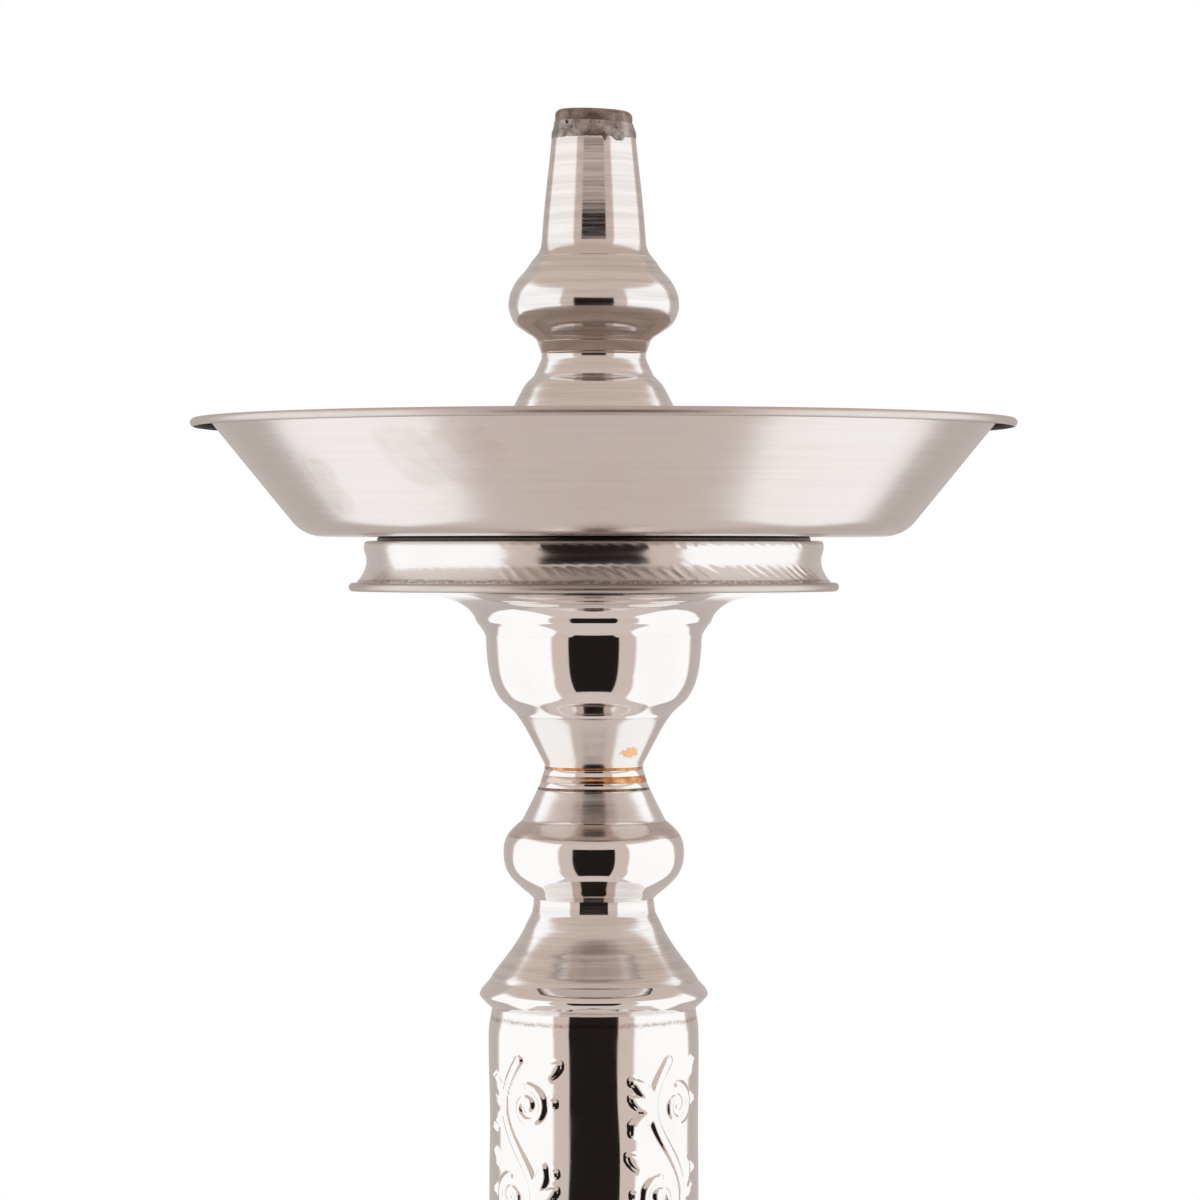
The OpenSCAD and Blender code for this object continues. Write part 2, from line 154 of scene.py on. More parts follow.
def leaning(radius: float, leans: Sequence[Point], pitch: float = 0.12) -> list[Point]:
    """Draws a wall from how much it leans at a few heights, so that it bends without a ripple.

    Args:
        radius: radius at the first height.
        leans: [height, lean] of each station; the lean is the growth of radius per height.
        pitch: height of each step of the result.

    Returns:
        Points [radius, height] along the wall.
    """
    points = [(radius, leans[0][0])]
    for (low, lean_low), (high, lean_high) in zip(leans, leans[1:]):
        steps = max(1, round((high - low) / pitch))
        for k in range(steps):
            share = (k + 0.5) / steps
            radius += (lean_low + (lean_high - lean_low) * share) * (high - low) / steps
            points.append((radius, low + (high - low) * (k + 1) / steps))
    return points


def arc(centre: Point, radius: float, start: float, end: float, steps: int = 12) -> list[Point]:
    """Points of an arc round [radius, height], from one angle in degrees to another."""
    angles = [math.radians(start + (end - start) * k / steps) for k in range(steps + 1)]
    return [(centre[0] + radius * math.cos(a), centre[1] + radius * math.sin(a)) for a in angles]


def sheet(curve: list[Point], wall: float, edge: float = 0.15) -> list[Point]:
    """Closes the section of a spun shell whose outer face follows a curve.

    Args:
        curve: outer face, foot first.
        wall: thickness of the metal.
        edge: rounding of the two outer rims, which leaves a fine seam between two pieces.

    Returns:
        The closed section, with level ends.
    """
    outer = list(curve)
    (r0, z0), (r1, z1) = outer[0], outer[-1]
    outer[0] = (r0, z0 + edge)
    outer[-1] = (r1, z1 - edge)
    outer = [p for p in outer if z0 + edge <= p[1] <= z1 - edge]
    outer = [(r0 - edge, z0)] + outer + [(r1 - edge, z1)]
    # the inner face isn't seen, so it has half the points
    inner = []
    every = 2
    flattest, last_rise = 0.3, 0.9
    for i in range(0, len(curve), every):
        before, after = curve[max(i - 1, 0)], curve[min(i + 1, len(curve) - 1)]
        rise = abs(after[1] - before[1]) / math.dist(before, after)
        inner.append((curve[i][0] - wall / max(rise, flattest), curve[i][1]))
    if (len(curve) - 1) % every:
        inner.append((r1 - wall / last_rise, z1))
    return outer + inner[::-1]


def block(
    bore: float, outer_foot: float, outer_top: float, height: float, edge: float = 0.12
) -> list[Point]:
    """Draws the section of a plain ring.

    Args:
        bore: radius of its hole.
        outer_foot: outer radius at the foot.
        outer_top: outer radius at the top.
        height: height of the ring.
        edge: how far the two outer edges are broken.

    Returns:
        The closed section.
    """
    return [
        (bore, 0),
        (outer_foot - edge, 0),
        (outer_foot, edge),
        (outer_top, height - edge),
        (outer_top - edge, height),
        (bore, height),
    ]


# ---------------------------------------------------------------- modelling


class Lathe:
    """Turns sections into meshes, as on a spinning lathe."""

    @staticmethod
    def clear() -> None:
        """Leaves nothing selected, so that an operator only acts on the new piece."""
        bpy.ops.object.select_all(action="DESELECT")

    @classmethod
    def turn(
        cls,
        name: str,
        section: list[Point],
        foot: float = 0.0,
        sectors: tuple[tuple[int, float], ...] = ((STEM_STEPS, 360.0),),
        axis_x: float = 0.0,
        crease: float = CREASE,
    ) -> Piece:
        """Extrudes a section point by point and spins it into a closed piece.

        Args:
            name: name of the piece.
            section: closed section of [radius, height] over the foot.
            foot: height of the section's zero in the row frame.
            sectors: (steps, degrees) of each stretch of the turn.
            axis_x: place of the lathe's axis along X.
            crease: angle in degrees from which an edge stays sharp.

        Returns:
            The piece, with its place in its mesh.
        """
        cls.clear()
        bpy.ops.mesh.primitive_plane_add(size=MM)
        piece = bpy.context.object
        piece.name = piece.data.name = name
        bpy.ops.object.mode_set(mode="EDIT")
        bpy.ops.mesh.select_all(action="SELECT")
        bpy.ops.mesh.merge(type="CENTER")
        start = section[0]
        bpy.ops.transform.translate(value=((axis_x + start[0]) * MM, 0, (foot + start[1]) * MM))
        for before, after in zip(section, section[1:] + section[:1]):
            move = ((after[0] - before[0]) * MM, 0, (after[1] - before[1]) * MM)
            bpy.ops.mesh.extrude_region_move(TRANSFORM_OT_translate={"value": move})
        bpy.ops.mesh.select_all(action="SELECT")
        bpy.ops.mesh.remove_doubles(threshold=WELD)
        for steps, degrees in sectors:
            bpy.ops.mesh.spin(
                steps=steps,
                angle=math.radians(degrees),
                center=(axis_x * MM, 0, 0),
                axis=(0, 0, 1),
            )
        bpy.ops.mesh.select_all(action="SELECT")
        bpy.ops.mesh.remove_doubles(threshold=WELD)
        bpy.ops.mesh.normals_make_consistent(inside=False)
        bpy.ops.object.mode_set(mode="OBJECT")
        bpy.ops.object.shade_smooth_by_angle(angle=math.radians(crease))
        return piece


def foot_of(node: str) -> float:
    """Height of a node's lowest point, in millimetres."""
    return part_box(node)[0].z / MM


def top_of(node: str) -> float:
    """Height of a node's highest point, in millimetres."""
    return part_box(node)[1].z / MM


def flipped(section: list[Point], height: float) -> list[Point]:
    """The same section turned over within its height."""
    return [(r, height - z) for r, z in section]


# ---------------------------------------------------------------- finishes


def hex_linear(code: str) -> tuple[float, float, float, float]:
    """Turns an sRGB hex colour into the linear colour that a shader takes.

    Args:
        code: six hex digits.

    Returns:
        Linear red, green, blue and an alpha of 1.
    """
    parts = [int(code[i : i + 2], 16) / 255 for i in (0, 2, 4)]
    linear = [p / 12.92 if p <= 0.04045 else ((p + 0.055) / 1.055) ** 2.4 for p in parts]
    return (*linear, 1.0)


def add_node(
    tree: Tree, kind: str, inputs: dict[str | int, object] | None = None, **settings: object
) -> bpy.types.Node:
    """Adds one node to a tree.

    Args:
        tree: node tree of a material or world.
        kind: type name of the node, without the ShaderNode at its start.
        inputs: value, or another node's output socket, for each input by name or number.
        settings: properties to set on it.

    Returns:
        The new node.
    """
    node = tree.nodes.new("ShaderNode" + kind)
    for key, value in settings.items():
        setattr(node, key, value)
    for key, value in (inputs or {}).items():
        if isinstance(value, Socket):
            tree.links.new(value, node.inputs[key])
        else:
            node.inputs[key].default_value = value
    return node


def new_tree(name: str) -> tuple[bpy.types.Material, Tree]:
    """Makes a material with an empty node tree.

    Args:
        name: name of the material.

    Returns:
        The material and its tree.
    """
    material = bpy.data.materials.new(name)
    material.use_nodes = True
    material.node_tree.nodes.clear()
    return material, material.node_tree


@dataclass(frozen=True)
class TurnedNickel:
    """Nickel plate on spun brass: warm white, with the fine rings of the lathe's polishing.

    The rings lie round the axis, so they smear a reflection along the profile and not across it,
    and where they are deeper they break it into level streaks.
    """

    name: str
    tint: str = "E8E2DE"
    roughness: float = 0.07
    smear: float = 0.5  # how much further a highlight runs along the profile
    ring_pitch: float = 1.0  # millimetres; most real rings are finer, and wouldn't show
    ring_tilt: float = 0.15  # degrees that the rings tip the surface
    wave_pitch: float = 6.0  # millimetres between the spinning tool's passes
    wave_tilt: float = 0.3  # degrees that the passes tip it
    streaks: float = 0.03  # roughness that changes from ring to ring
    dull: float = 0.04  # roughness added where handling has dulled the plate
    grain: float = 0.0  # share of tarnish that lies in the deeper rings
    axis_x: float = 0.0  # place of the turned axis along X, in millimetres
    patch_pitch: float = 14.2857  # millimetres across a patch that hands have dulled
    cast_pitch: float = 22.2222  # millimetres across a patch with a brown cast

    def radial(self, tree: Tree) -> Socket:
        """Finds the place on the turned surface.

        Args:
            tree: node tree of the material.

        Returns:
            Vector of radius, height and a slow share of the way across.
        """
        place = add_node(tree, "TexCoord").outputs["Object"]
        centred = add_node(
            tree, "VectorMath", {0: place, 1: (self.axis_x * MM, 0, 0)}, operation="SUBTRACT"
        ).outputs[0]
        flat = add_node(
            tree, "VectorMath", {0: centred, 1: (1, 1, 0)}, operation="MULTIPLY"
        ).outputs[0]
        radius = add_node(tree, "VectorMath", {0: flat}, operation="LENGTH").outputs["Value"]
        parts = add_node(tree, "SeparateXYZ", {0: centred}).outputs
        slow = add_node(tree, "Math", {0: parts[0], 1: 0.03}, operation="MULTIPLY").outputs[0]
        return add_node(tree, "CombineXYZ", {0: radius, 1: parts[2], 2: slow}).outputs[0]

    def relief(self, tree: Tree, radial: Socket) -> Socket:
        """Adds the bump of the polishing rings and of the spinning tool's passes.

        Args:
            tree: node tree of the material.
            radial: place on the turned surface.

        Returns:
            Normal of the surface.
        """
        rings = add_node(
            tree,
            "TexNoise",
            {"Vector": radial, "Scale": 1 / (self.ring_pitch * MM), "Roughness": 0.6},
        ).outputs["Fac"]
        waves = add_node(
            tree,
            "TexNoise",
            {
                "Vector": radial,
                "Scale": 1 / (self.wave_pitch * MM),
                "Detail": 1.0,
                "Roughness": 0.4,
            },
        ).outputs["Fac"]
        # a noise rises by about its whole height over two thirds of its pitch
        steep = 1.5
        low = add_node(
            tree,
            "Bump",
            {
                "Distance": math.radians(self.wave_tilt) * self.wave_pitch * MM / steep,
                "Height": waves,
            },
        ).outputs[0]
        return add_node(
            tree,
            "Bump",
            {
                "Distance": math.radians(self.ring_tilt) * self.ring_pitch * MM / steep,
                "Height": rings,
                "Normal": low,
            },
        ).outputs[0]

    def gloss(self, tree: Tree, radial: Socket) -> Socket:
        """Varies the roughness from ring to ring, and raises it where hands have been.

        Args:
            tree: node tree of the material.
            radial: place on the turned surface.

        Returns:
            Roughness.
        """
        place = add_node(tree, "TexCoord").outputs["Object"]
        patches = add_node(
            tree, "TexNoise", {"Vector": place, "Scale": 1 / (self.patch_pitch * MM), "Detail": 3.0}
        ).outputs["Fac"]
        handled = add_node(
            tree,
            "MapRange",
            {
                "Value": patches,
                "From Min": 0.45,
                "From Max": 0.75,
                "To Min": self.roughness,
                "To Max": self.roughness + self.dull,
            },
        ).outputs[0]
        rings = add_node(
            tree,
            "TexNoise",
            {
                "Vector": radial,
                "Scale": 0.8 / (self.ring_pitch * MM),
                "Detail": 3.0,
                "Roughness": 0.7,
            },
        ).outputs["Fac"]
        worn = add_node(
            tree,
            "MapRange",
            {"Value": rings, "From Min": 0.4, "From Max": 0.75, "To Max": self.streaks},
        ).outputs[0]
        return add_node(tree, "Math", {0: handled, 1: worn}, operation="ADD").outputs[0]

    def colour(self, tree: Tree, radial: Socket) -> Socket:
        """Colours the plate, with a faint brown cast in slow patches and tarnish in the rings.

        Args:
            tree: node tree of the material.
            radial: place on the turned surface.

        Returns:
            Colour.
        """
        place = add_node(tree, "TexCoord").outputs["Object"]
        cast = add_node(
            tree, "TexNoise", {"Vector": place, "Scale": 1 / (self.cast_pitch * MM), "Detail": 4.0}
        ).outputs["Fac"]
        share = add_node(
            tree, "MapRange", {"Value": cast, "From Min": 0.5, "From Max": 0.8, "To Max": 0.25}
        ).outputs[0]
        plate = add_node(
            tree,
            "Mix",
            {"Factor": share, 6: hex_linear(self.tint), 7: hex_linear("D8CBC2")},
            data_type="RGBA",
        ).outputs[2]
        if not self.grain:
            return plate
        rings = add_node(
            tree,
            "TexNoise",
            {
                "Vector": radial,
                "Scale": 0.6 / (self.ring_pitch * MM),
                "Detail": 4.0,
                "Roughness": 0.65,
            },
        ).outputs["Fac"]
        tarnish = add_node(
            tree,
            "MapRange",
            {"Value": rings, "From Min": 0.42, "From Max": 0.72, "To Max": self.grain},
        ).outputs[0]
        return add_node(
            tree, "Mix", {"Factor": tarnish, 6: plate, 7: hex_linear("8E7B6F")}, data_type="RGBA"
        ).outputs[2]

    def material(self) -> bpy.types.Material:
        """Builds the finish.

        Returns:
            The material.
        """
        material, tree = new_tree(self.name)
        radial = self.radial(tree)
        tangent = add_node(tree, "Tangent", direction_type="RADIAL", axis="Z").outputs[0]
        # the rotation of a quarter turn lays the smear along the profile
        surface = add_node(
            tree,
            "BsdfPrincipled",
            {
                "Base Color": self.colour(tree, radial),
                "Metallic": 1.0,
                "Roughness": self.gloss(tree, radial),
                "Anisotropic": self.smear,
                "Anisotropic Rotation": 0.25,
                "Tangent": tangent,
                "Normal": self.relief(tree, radial),
            },
        )
        add_node(tree, "OutputMaterial", {"Surface": surface.outputs[0]})
        return material


@dataclass(frozen=True)
class Handled(TurnedNickel):
    """Lathe-brushed sheet steel with the dull brownish prints of greasy fingers on its front."""

    # x, y, z and reach of each print, in millimetres
    prints: tuple[tuple[float, float, float, float], ...] = ()
    print_dull: float = 0.05  # roughness that a print adds
    print_stain: float = 0.3  # share of the sheet's colour that a print hides
    ragged_pitch: float = 16.6667  # millimetres between the bays of a print's outline
    ragged_depth: float = 0.9  # how deep they are, as a share of its reach
    swirl_pitch: float = 13.3333  # millimetres between swirls of grease

    def grease(self, tree: Tree) -> Socket:
        """Finds how much grease there is.

        Args:
            tree: node tree of the material.

        Returns:
            Share of grease, from 0 outside the prints' ragged outlines to 1 inside them.
        """
        place = add_node(tree, "TexCoord").outputs["Object"]
        ragged = add_node(
            tree,
            "TexNoise",
            {
                "Vector": place,
                "Scale": 1 / (self.ragged_pitch * MM),
                "Detail": 4.0,
                "Distortion": 0.6,
            },
        ).outputs["Fac"]
        total: object = 0.0
        for x, y, z, reach in self.prints:
            away = add_node(
                tree, "VectorMath", {0: place, 1: (x * MM, y * MM, z * MM)}, operation="DISTANCE"
            ).outputs["Value"]
            edge = add_node(
                tree,
                "Math",
                {0: ragged, 1: -self.ragged_depth * reach * MM, 2: away},
                operation="MULTIPLY_ADD",
            ).outputs[0]
            inside = add_node(
                tree,
                "MapRange",
                {
                    "Value": edge,
                    "From Min": 0.3 * reach * MM,
                    "From Max": 0.6 * reach * MM,
                    "To Min": 1.0,
                    "To Max": 0.0,
                },
                interpolation_type="SMOOTHSTEP",
            ).outputs[0]
            total = add_node(tree, "Math", {0: total, 1: inside}, operation="MAXIMUM").outputs[0]
        # the finger dragged as it let go, so the grease lies in swirls
        swirls = add_node(
            tree,
            "TexNoise",
            {
                "Vector": place,
                "Scale": 1 / (self.swirl_pitch * MM),
                "Roughness": 0.45,
                "Distortion": 1.6,
            },
        ).outputs["Fac"]
        thickness = add_node(
            tree, "MapRange", {"Value": swirls, "From Min": 0.35, "From Max": 0.65, "To Min": 0.25}
        ).outputs[0]
        return add_node(tree, "Math", {0: total, 1: thickness}, operation="MULTIPLY").outputs[0]

    def gloss(self, tree: Tree, radial: Socket) -> Socket:
        """Raises the roughness inside the finger prints.

        Args:
            tree: node tree of the material.
            radial: place on the turned surface.

        Returns:
            Roughness.
        """
        return add_node(
            tree,
            "Math",
            {0: self.grease(tree), 1: self.print_dull, 2: super().gloss(tree, radial)},
            operation="MULTIPLY_ADD",
        ).outputs[0]

    def colour(self, tree: Tree, radial: Socket) -> Socket:
        """Colours the sheet, browner inside the finger prints.

        Args:
            tree: node tree of the material.
            radial: place on the turned surface.

        Returns:
            Colour.
        """
        share = add_node(
            tree, "Math", {0: self.grease(tree), 1: self.print_stain}, operation="MULTIPLY"
        ).outputs[0]
        return add_node(
            tree,
            "Mix",
            {"Factor": share, 6: super().colour(tree, radial), 7: hex_linear("C2AEA4")},
            data_type="RGBA",
        ).outputs[2]


@dataclass(frozen=True)
class HalfPolished(TurnedNickel):
    """Plate polished bright above one height and left brushed below it, or the reverse."""

    bright_above: float = 0.0  # height in millimetres where the bright stretch starts
    fade: float = 1.5  # millimetres over which it fades
    matt: float = 0.3  # roughness of the brushed stretch
    upward: bool = True  # whether the bright stretch is the upper one

    def gloss(self, tree: Tree, radial: Socket) -> Socket:
        """Sets the roughness by height.

        Args:
            tree: node tree of the material.
            radial: place on the turned surface.

        Returns:
            Roughness.
        """
        height = add_node(tree, "SeparateXYZ", {0: radial}).outputs[1]
        ends = (self.matt, self.roughness) if self.upward else (self.roughness, self.matt)
        return add_node(
            tree,
            "MapRange",
            {
                "Value": height,
                "From Min": (self.bright_above - self.fade) * MM,
                "From Max": (self.bright_above + self.fade) * MM,
                "To Min": ends[0],
                "To Max": ends[1],
            },
            interpolation_type="SMOOTHSTEP",
        ).outputs[0]


@dataclass(frozen=True)
class WornPlate(TurnedNickel):
    """Satin nickel plate with one spot rubbed through to the copper under it."""

    spot: Triple = (0.0, 0.0, 0.0)  # middle of the spot, in millimetres
    reach: float = 4.0  # millimetres that it spreads from there
    ragged_pitch: float = 1.11111  # millimetres between the bays of its outline
    squat: float = 1.9  # how much wider than tall it is

    def colour(self, tree: Tree, radial: Socket) -> Socket:
        """Colours the plate, and shows copper inside the spot's ragged outline.

        Args:
            tree: node tree of the material.
            radial: place on the turned surface.

        Returns:
            Colour.
        """
        place = add_node(tree, "TexCoord").outputs["Object"]
        ragged = add_node(
            tree,
            "TexNoise",
            {
                "Vector": place,
                "Scale": 1 / (self.ragged_pitch * MM),
                "Detail": 6.0,
                "Roughness": 0.8,
            },
        ).outputs["Fac"]
        apart = add_node(
            tree,
            "VectorMath",
            {0: place, 1: tuple(part * MM for part in self.spot)},
            operation="SUBTRACT",
        ).outputs[0]
        scaled = add_node(
            tree, "VectorMath", {0: apart, 1: (1, 1, self.squat)}, operation="MULTIPLY"
        ).outputs[0]
        away = add_node(tree, "VectorMath", {0: scaled}, operation="LENGTH").outputs["Value"]
        edge = add_node(
            tree, "Math", {0: ragged, 1: -2.6 * self.reach * MM, 2: away}, operation="MULTIPLY_ADD"
        ).outputs[0]
        bare = add_node(
            tree,
            "MapRange",
            {
                "Value": edge,
                "From Min": -0.75 * self.reach * MM,
                "From Max": -0.67 * self.reach * MM,
                "To Min": 1.0,
                "To Max": 0.0,
            },
            interpolation_type="SMOOTHSTEP",
        ).outputs[0]
        # tarnish creeps out from under the plate's broken edge
        rim = add_node(
            tree,
            "MapRange",
            {
                "Value": edge,
                "From Min": -0.7 * self.reach * MM,
                "From Max": -0.45 * self.reach * MM,
                "To Min": 0.65,
                "To Max": 0.0,
            },
            interpolation_type="SMOOTHSTEP",
        ).outputs[0]
        tarnished = add_node(
            tree,
            "Mix",
            {"Factor": rim, 6: super().colour(tree, radial), 7: hex_linear("7A5C46")},
            data_type="RGBA",
        ).outputs[2]
        return add_node(
            tree, "Mix", {"Factor": bare, 6: tarnished, 7: hex_linear("E9AE79")}, data_type="RGBA"
        ).outputs[2]


@dataclass(frozen=True)
class ResidueLine(TurnedNickel):
    """Polished plate with a dotted brown line of flux left where the sheet was soldered in."""

    heights: tuple[float, ...] = ()  # heights of the lines, in millimetres
    half_width: float = 0.28  # half the width of a line, in millimetres
    stain: str = "8A705C"
    speck_pitch: float = 0.909091  # millimetres between specks
    wander_pitch: float = 6.25  # millimetres over which the line strays
    wander: float = 0.9  # millimetres between its highest and lowest places

    def colour(self, tree: Tree, radial: Socket) -> Socket:
        """Colours the plate and the residue's brown specks.

        Args:
            tree: node tree of the material.
            radial: place on the turned surface.

        Returns:
            Colour.
        """
        place = add_node(tree, "TexCoord").outputs["Object"]
        height = add_node(tree, "SeparateXYZ", {0: place}).outputs[2]
        specks = add_node(
            tree, "TexNoise", {"Vector": place, "Scale": 1 / (self.speck_pitch * MM), "Detail": 3.0}
        ).outputs["Fac"]
        straying = add_node(
            tree, "TexNoise", {"Vector": place, "Scale": 1 / (self.wander_pitch * MM)}
        ).outputs["Fac"]
        shifted = add_node(
            tree, "Math", {0: straying, 1: self.wander * MM, 2: height}, operation="MULTIPLY_ADD"
        ).outputs[0]
        total = super().colour(tree, radial)
        for line in self.heights:
            off = add_node(
                tree, "Math", {0: shifted, 1: (line + self.wander / 2) * MM}, operation="SUBTRACT"
            ).outputs[0]
            away = add_node(tree, "Math", {0: off}, operation="ABSOLUTE").outputs[0]
            band = add_node(
                tree,
                "MapRange",
                {
                    "Value": away,
                    "From Max": self.half_width * MM,
                    "To Min": 0.75,
                    "To Max": 0.0,
                },
            ).outputs[0]
            dots = add_node(
                tree,
                "MapRange",
                {"Value": specks, "From Min": 0.35, "From Max": 0.6, "To Min": 0.3},
            ).outputs[0]
            share = add_node(
                tree, "Math", {0: band, 1: dots}, operation="MULTIPLY", use_clamp=True
            ).outputs[0]
            total = add_node(
                tree,
                "Mix",
                {"Factor": share, 6: total, 7: hex_linear(self.stain)},
                data_type="RGBA",
            ).outputs[2]
        return total


@dataclass(frozen=True)
class CastMetal:
    """Metal melted in place, such as solder or braze: soft lumps, a dull skin and a few pits."""

    name: str
    pale: str
    dark: str
    roughness: float
    metallic: float
    lump_pitch: float  # millimetres between lumps
    lump_depth: float  # millimetres
    pits: float = 0.0  # width of a pit, in millimetres
    plated_left: bool = False  # plate still covers part of the left side
    patch_pitch: float = 3.84615  # millimetres between the bays of that plate's edge
    pit_pitch: float = 1.15  # millimetres between pits
    cluster_pitch: float = 4.5  # millimetres between clusters of them

    def colour(self, tree: Tree, place: Socket) -> Socket:
        """Mottles the skin, and leaves plate on one side where there is some.

        Args:
            tree: node tree of the material.
            place: place on the piece.

        Returns:
            Colour.
        """
        mottle = add_node(
            tree,
            "TexNoise",
            {
                "Vector": place,
                "Scale": 0.5 / (self.lump_pitch * MM),
                "Detail": 5.0,
                "Roughness": 0.65,
            },
        ).outputs["Fac"]
        tone = add_node(
            tree, "MapRange", {"Value": mottle, "From Min": 0.35, "From Max": 0.62}
        ).outputs[0]
        colour = add_node(
            tree,
            "Mix",
            {"Factor": tone, 6: hex_linear(self.dark), 7: hex_linear(self.pale)},
            data_type="RGBA",
        ).outputs[2]
        if not self.plated_left:
            return colour
        side = add_node(tree, "SeparateXYZ", {0: place}).outputs[0]
        patch = add_node(
            tree, "TexNoise", {"Vector": place, "Scale": 1 / (self.patch_pitch * MM), "Detail": 3.0}
        ).outputs["Fac"]
        blend = add_node(
            tree, "Math", {0: patch, 1: 16 * MM, 2: side}, operation="MULTIPLY_ADD"
        ).outputs[0]
        share = add_node(
            tree,
            "MapRange",
            {"Value": blend, "From Min": 3 * MM, "From Max": 9 * MM, "To Min": 0.85, "To Max": 0.0},
        ).outputs[0]
        return add_node(
            tree, "Mix", {"Factor": share, 6: colour, 7: hex_linear("D3C6BC")}, data_type="RGBA"
        ).outputs[2]

    def material(self) -> bpy.types.Material:
        """Builds the finish.

        Returns:
            The material.
        """
        material, tree = new_tree(self.name)
        place = add_node(tree, "TexCoord").outputs["Object"]
        lumps = add_node(
            tree, "TexNoise", {"Vector": place, "Scale": 1 / (self.lump_pitch * MM)}
        ).outputs["Fac"]
        height = lumps
        colour = self.colour(tree, place)
        if self.pits > 0:
            # pits lie in clusters, where the flux boiled; each is a shallow dent coloured
            # near-black as painted shade
            cells = add_node(
                tree, "TexVoronoi", {"Vector": place, "Scale": 1 / (self.pit_pitch * MM)}
            ).outputs["Distance"]
            cluster = add_node(
                tree,
                "TexNoise",
                {"Vector": place, "Scale": 1 / (self.cluster_pitch * MM), "Detail": 0.0},
            ).outputs["Fac"]
            width = add_node(
                tree,
                "MapRange",
                {
                    "Value": cluster,
                    "From Min": 0.46,
                    "From Max": 0.66,
                    "To Max": self.pits / self.pit_pitch,
                },
            ).outputs[0]
            depth = add_node(tree, "Math", {0: width, 1: cells}, operation="SUBTRACT").outputs[0]
            pit_dent_and_shade = add_node(
                tree, "MapRange", {"Value": depth, "From Min": -0.08, "From Max": 0.06}
            ).outputs[0]
            # painted shade: the inside of each pit is coloured near-black
            colour = add_node(
                tree, "Mix", {"Factor": pit_dent_and_shade, 6: colour, 7: hex_linear("332C28")}, data_type="RGBA"
            ).outputs[2]
            height = add_node(
                tree, "Math", {0: pit_dent_and_shade, 1: -1.5, 2: lumps}, operation="MULTIPLY_ADD"
            ).outputs[0]
        bump = add_node(
            tree, "Bump", {"Distance": self.lump_depth * MM, "Height": height}
        ).outputs[0]
        surface = add_node(
            tree,
            "BsdfPrincipled",
            {
                "Base Color": colour,
                "Metallic": self.metallic,
                "Roughness": self.roughness,
                "Normal": bump,
            },
        )
        add_node(tree, "OutputMaterial", {"Surface": surface.outputs[0]})
        return material


@dataclass(frozen=True)
class MouldedRubber:
    """Black moulded rubber: matt, faintly grey where it has bloomed, with a fine moulded grain."""

    name: str = "moulded_rubber"
    bloom_pitch: float = 16.6667  # millimetres across a bloomed patch
    grain_pitch: float = 0.5  # millimetres; the real grain is finer, and wouldn't show

    def material(self) -> bpy.types.Material:
        """Builds the finish.

        Returns:
            The material.
        """
        material, tree = new_tree(self.name)
        place = add_node(tree, "TexCoord").outputs["Object"]
        bloom = add_node(
            tree, "TexNoise", {"Vector": place, "Scale": 1 / (self.bloom_pitch * MM), "Detail": 5.0}
        ).outputs["Fac"]
        grain = add_node(
            tree, "TexNoise", {"Vector": place, "Scale": 1 / (self.grain_pitch * MM)}
        ).outputs["Fac"]
        colour = add_node(
            tree,
            "Mix",
            {"Factor": bloom, 6: hex_linear("1C1B1B"), 7: hex_linear("3A3837")},
            data_type="RGBA",
        ).outputs[2]
        bump = add_node(tree, "Bump", {"Distance": 0.02 * MM, "Height": grain}).outputs[0]
        surface = add_node(
            tree,
            "BsdfPrincipled",
            {"Base Color": colour, "Roughness": 0.62, "IOR": 1.52, "Normal": bump},
        )
        add_node(tree, "OutputMaterial", {"Surface": surface.outputs[0]})
        return material


Finish = TurnedNickel | CastMetal | MouldedRubber
# buffed after plating, so it mirrors the room with next to no blur
MIRROR = TurnedNickel("mirror_nickel", roughness=0.045, smear=0.25)
# a copper-coloured filler that flowed smooth, and was never plated
BARE_BRAZE = CastMetal(
    "bare_braze",
    "E2A670",
    "B27747",
    roughness=0.22,
    metallic=1.0,
    lump_pitch=1.2,
    lump_depth=0.01,
)


# ---------------------------------------------------------------- sub-assemblies


@dataclass
class SubAssembly:
    """Some pieces of the object that are made together."""

    body: Body = Body.STEM
    made: list[Piece] = field(default_factory=list)

    def keep(self, piece: Piece, finish: Finish, slot: Slot, *nodes: str) -> None:
        """Dresses a finished piece and puts it in the place of its CAD nodes.

        Args:
            piece: the new piece.
            finish: its finish.
            slot: the record's slot that the finish stands for; not used.
            nodes: CAD nodes that it stands for.
        """
        piece.data.materials.clear()
        piece.data.materials.append(bpy.data.materials.get(finish.name) or finish.material())
        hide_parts(*nodes)
        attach(piece, self.body.value)
        self.made.append(piece)
        log.info("%s: %d faces, %s", piece.name, len(piece.data.polygons), finish.name)

    def spin(
        self,
        node: str,
        section: list[Point],
        finish: Finish,
        slot: Slot,
        steps: int = STEM_STEPS,
        crease: float = CREASE,
    ) -> Piece:
        """Turns the piece of one CAD node on that node's foot, and keeps it.

        Args:
            node: the CAD node.
            section: closed section of [radius, height] over the foot.
            finish: its finish.
            slot: the record's slot that the finish stands for.
            steps: facets round it.
            crease: angle in degrees from which an edge stays sharp.

        Returns:
            The piece.
        """
        piece = Lathe.turn(node, section, foot_of(node), ((steps, 360.0),), crease=crease)
        self.keep(piece, finish, slot, node)
        return piece

    def coat(
        self, piece: Piece, finish: Finish, wanted: Callable[[Vector, Vector], bool]
    ) -> None:
        """Gives some faces of a piece another finish.

        Args:
            piece: the piece, with its first finish on.
            finish: the other finish.
            wanted: says from a face's middle and normal whether it gets the finish.
        """
        piece.data.materials.append(bpy.data.materials.get(finish.name) or finish.material())
        index = len(piece.data.materials) - 1
        for face in piece.data.polygons:
            if wanted(face.center, face.normal):
                face.material_index = index


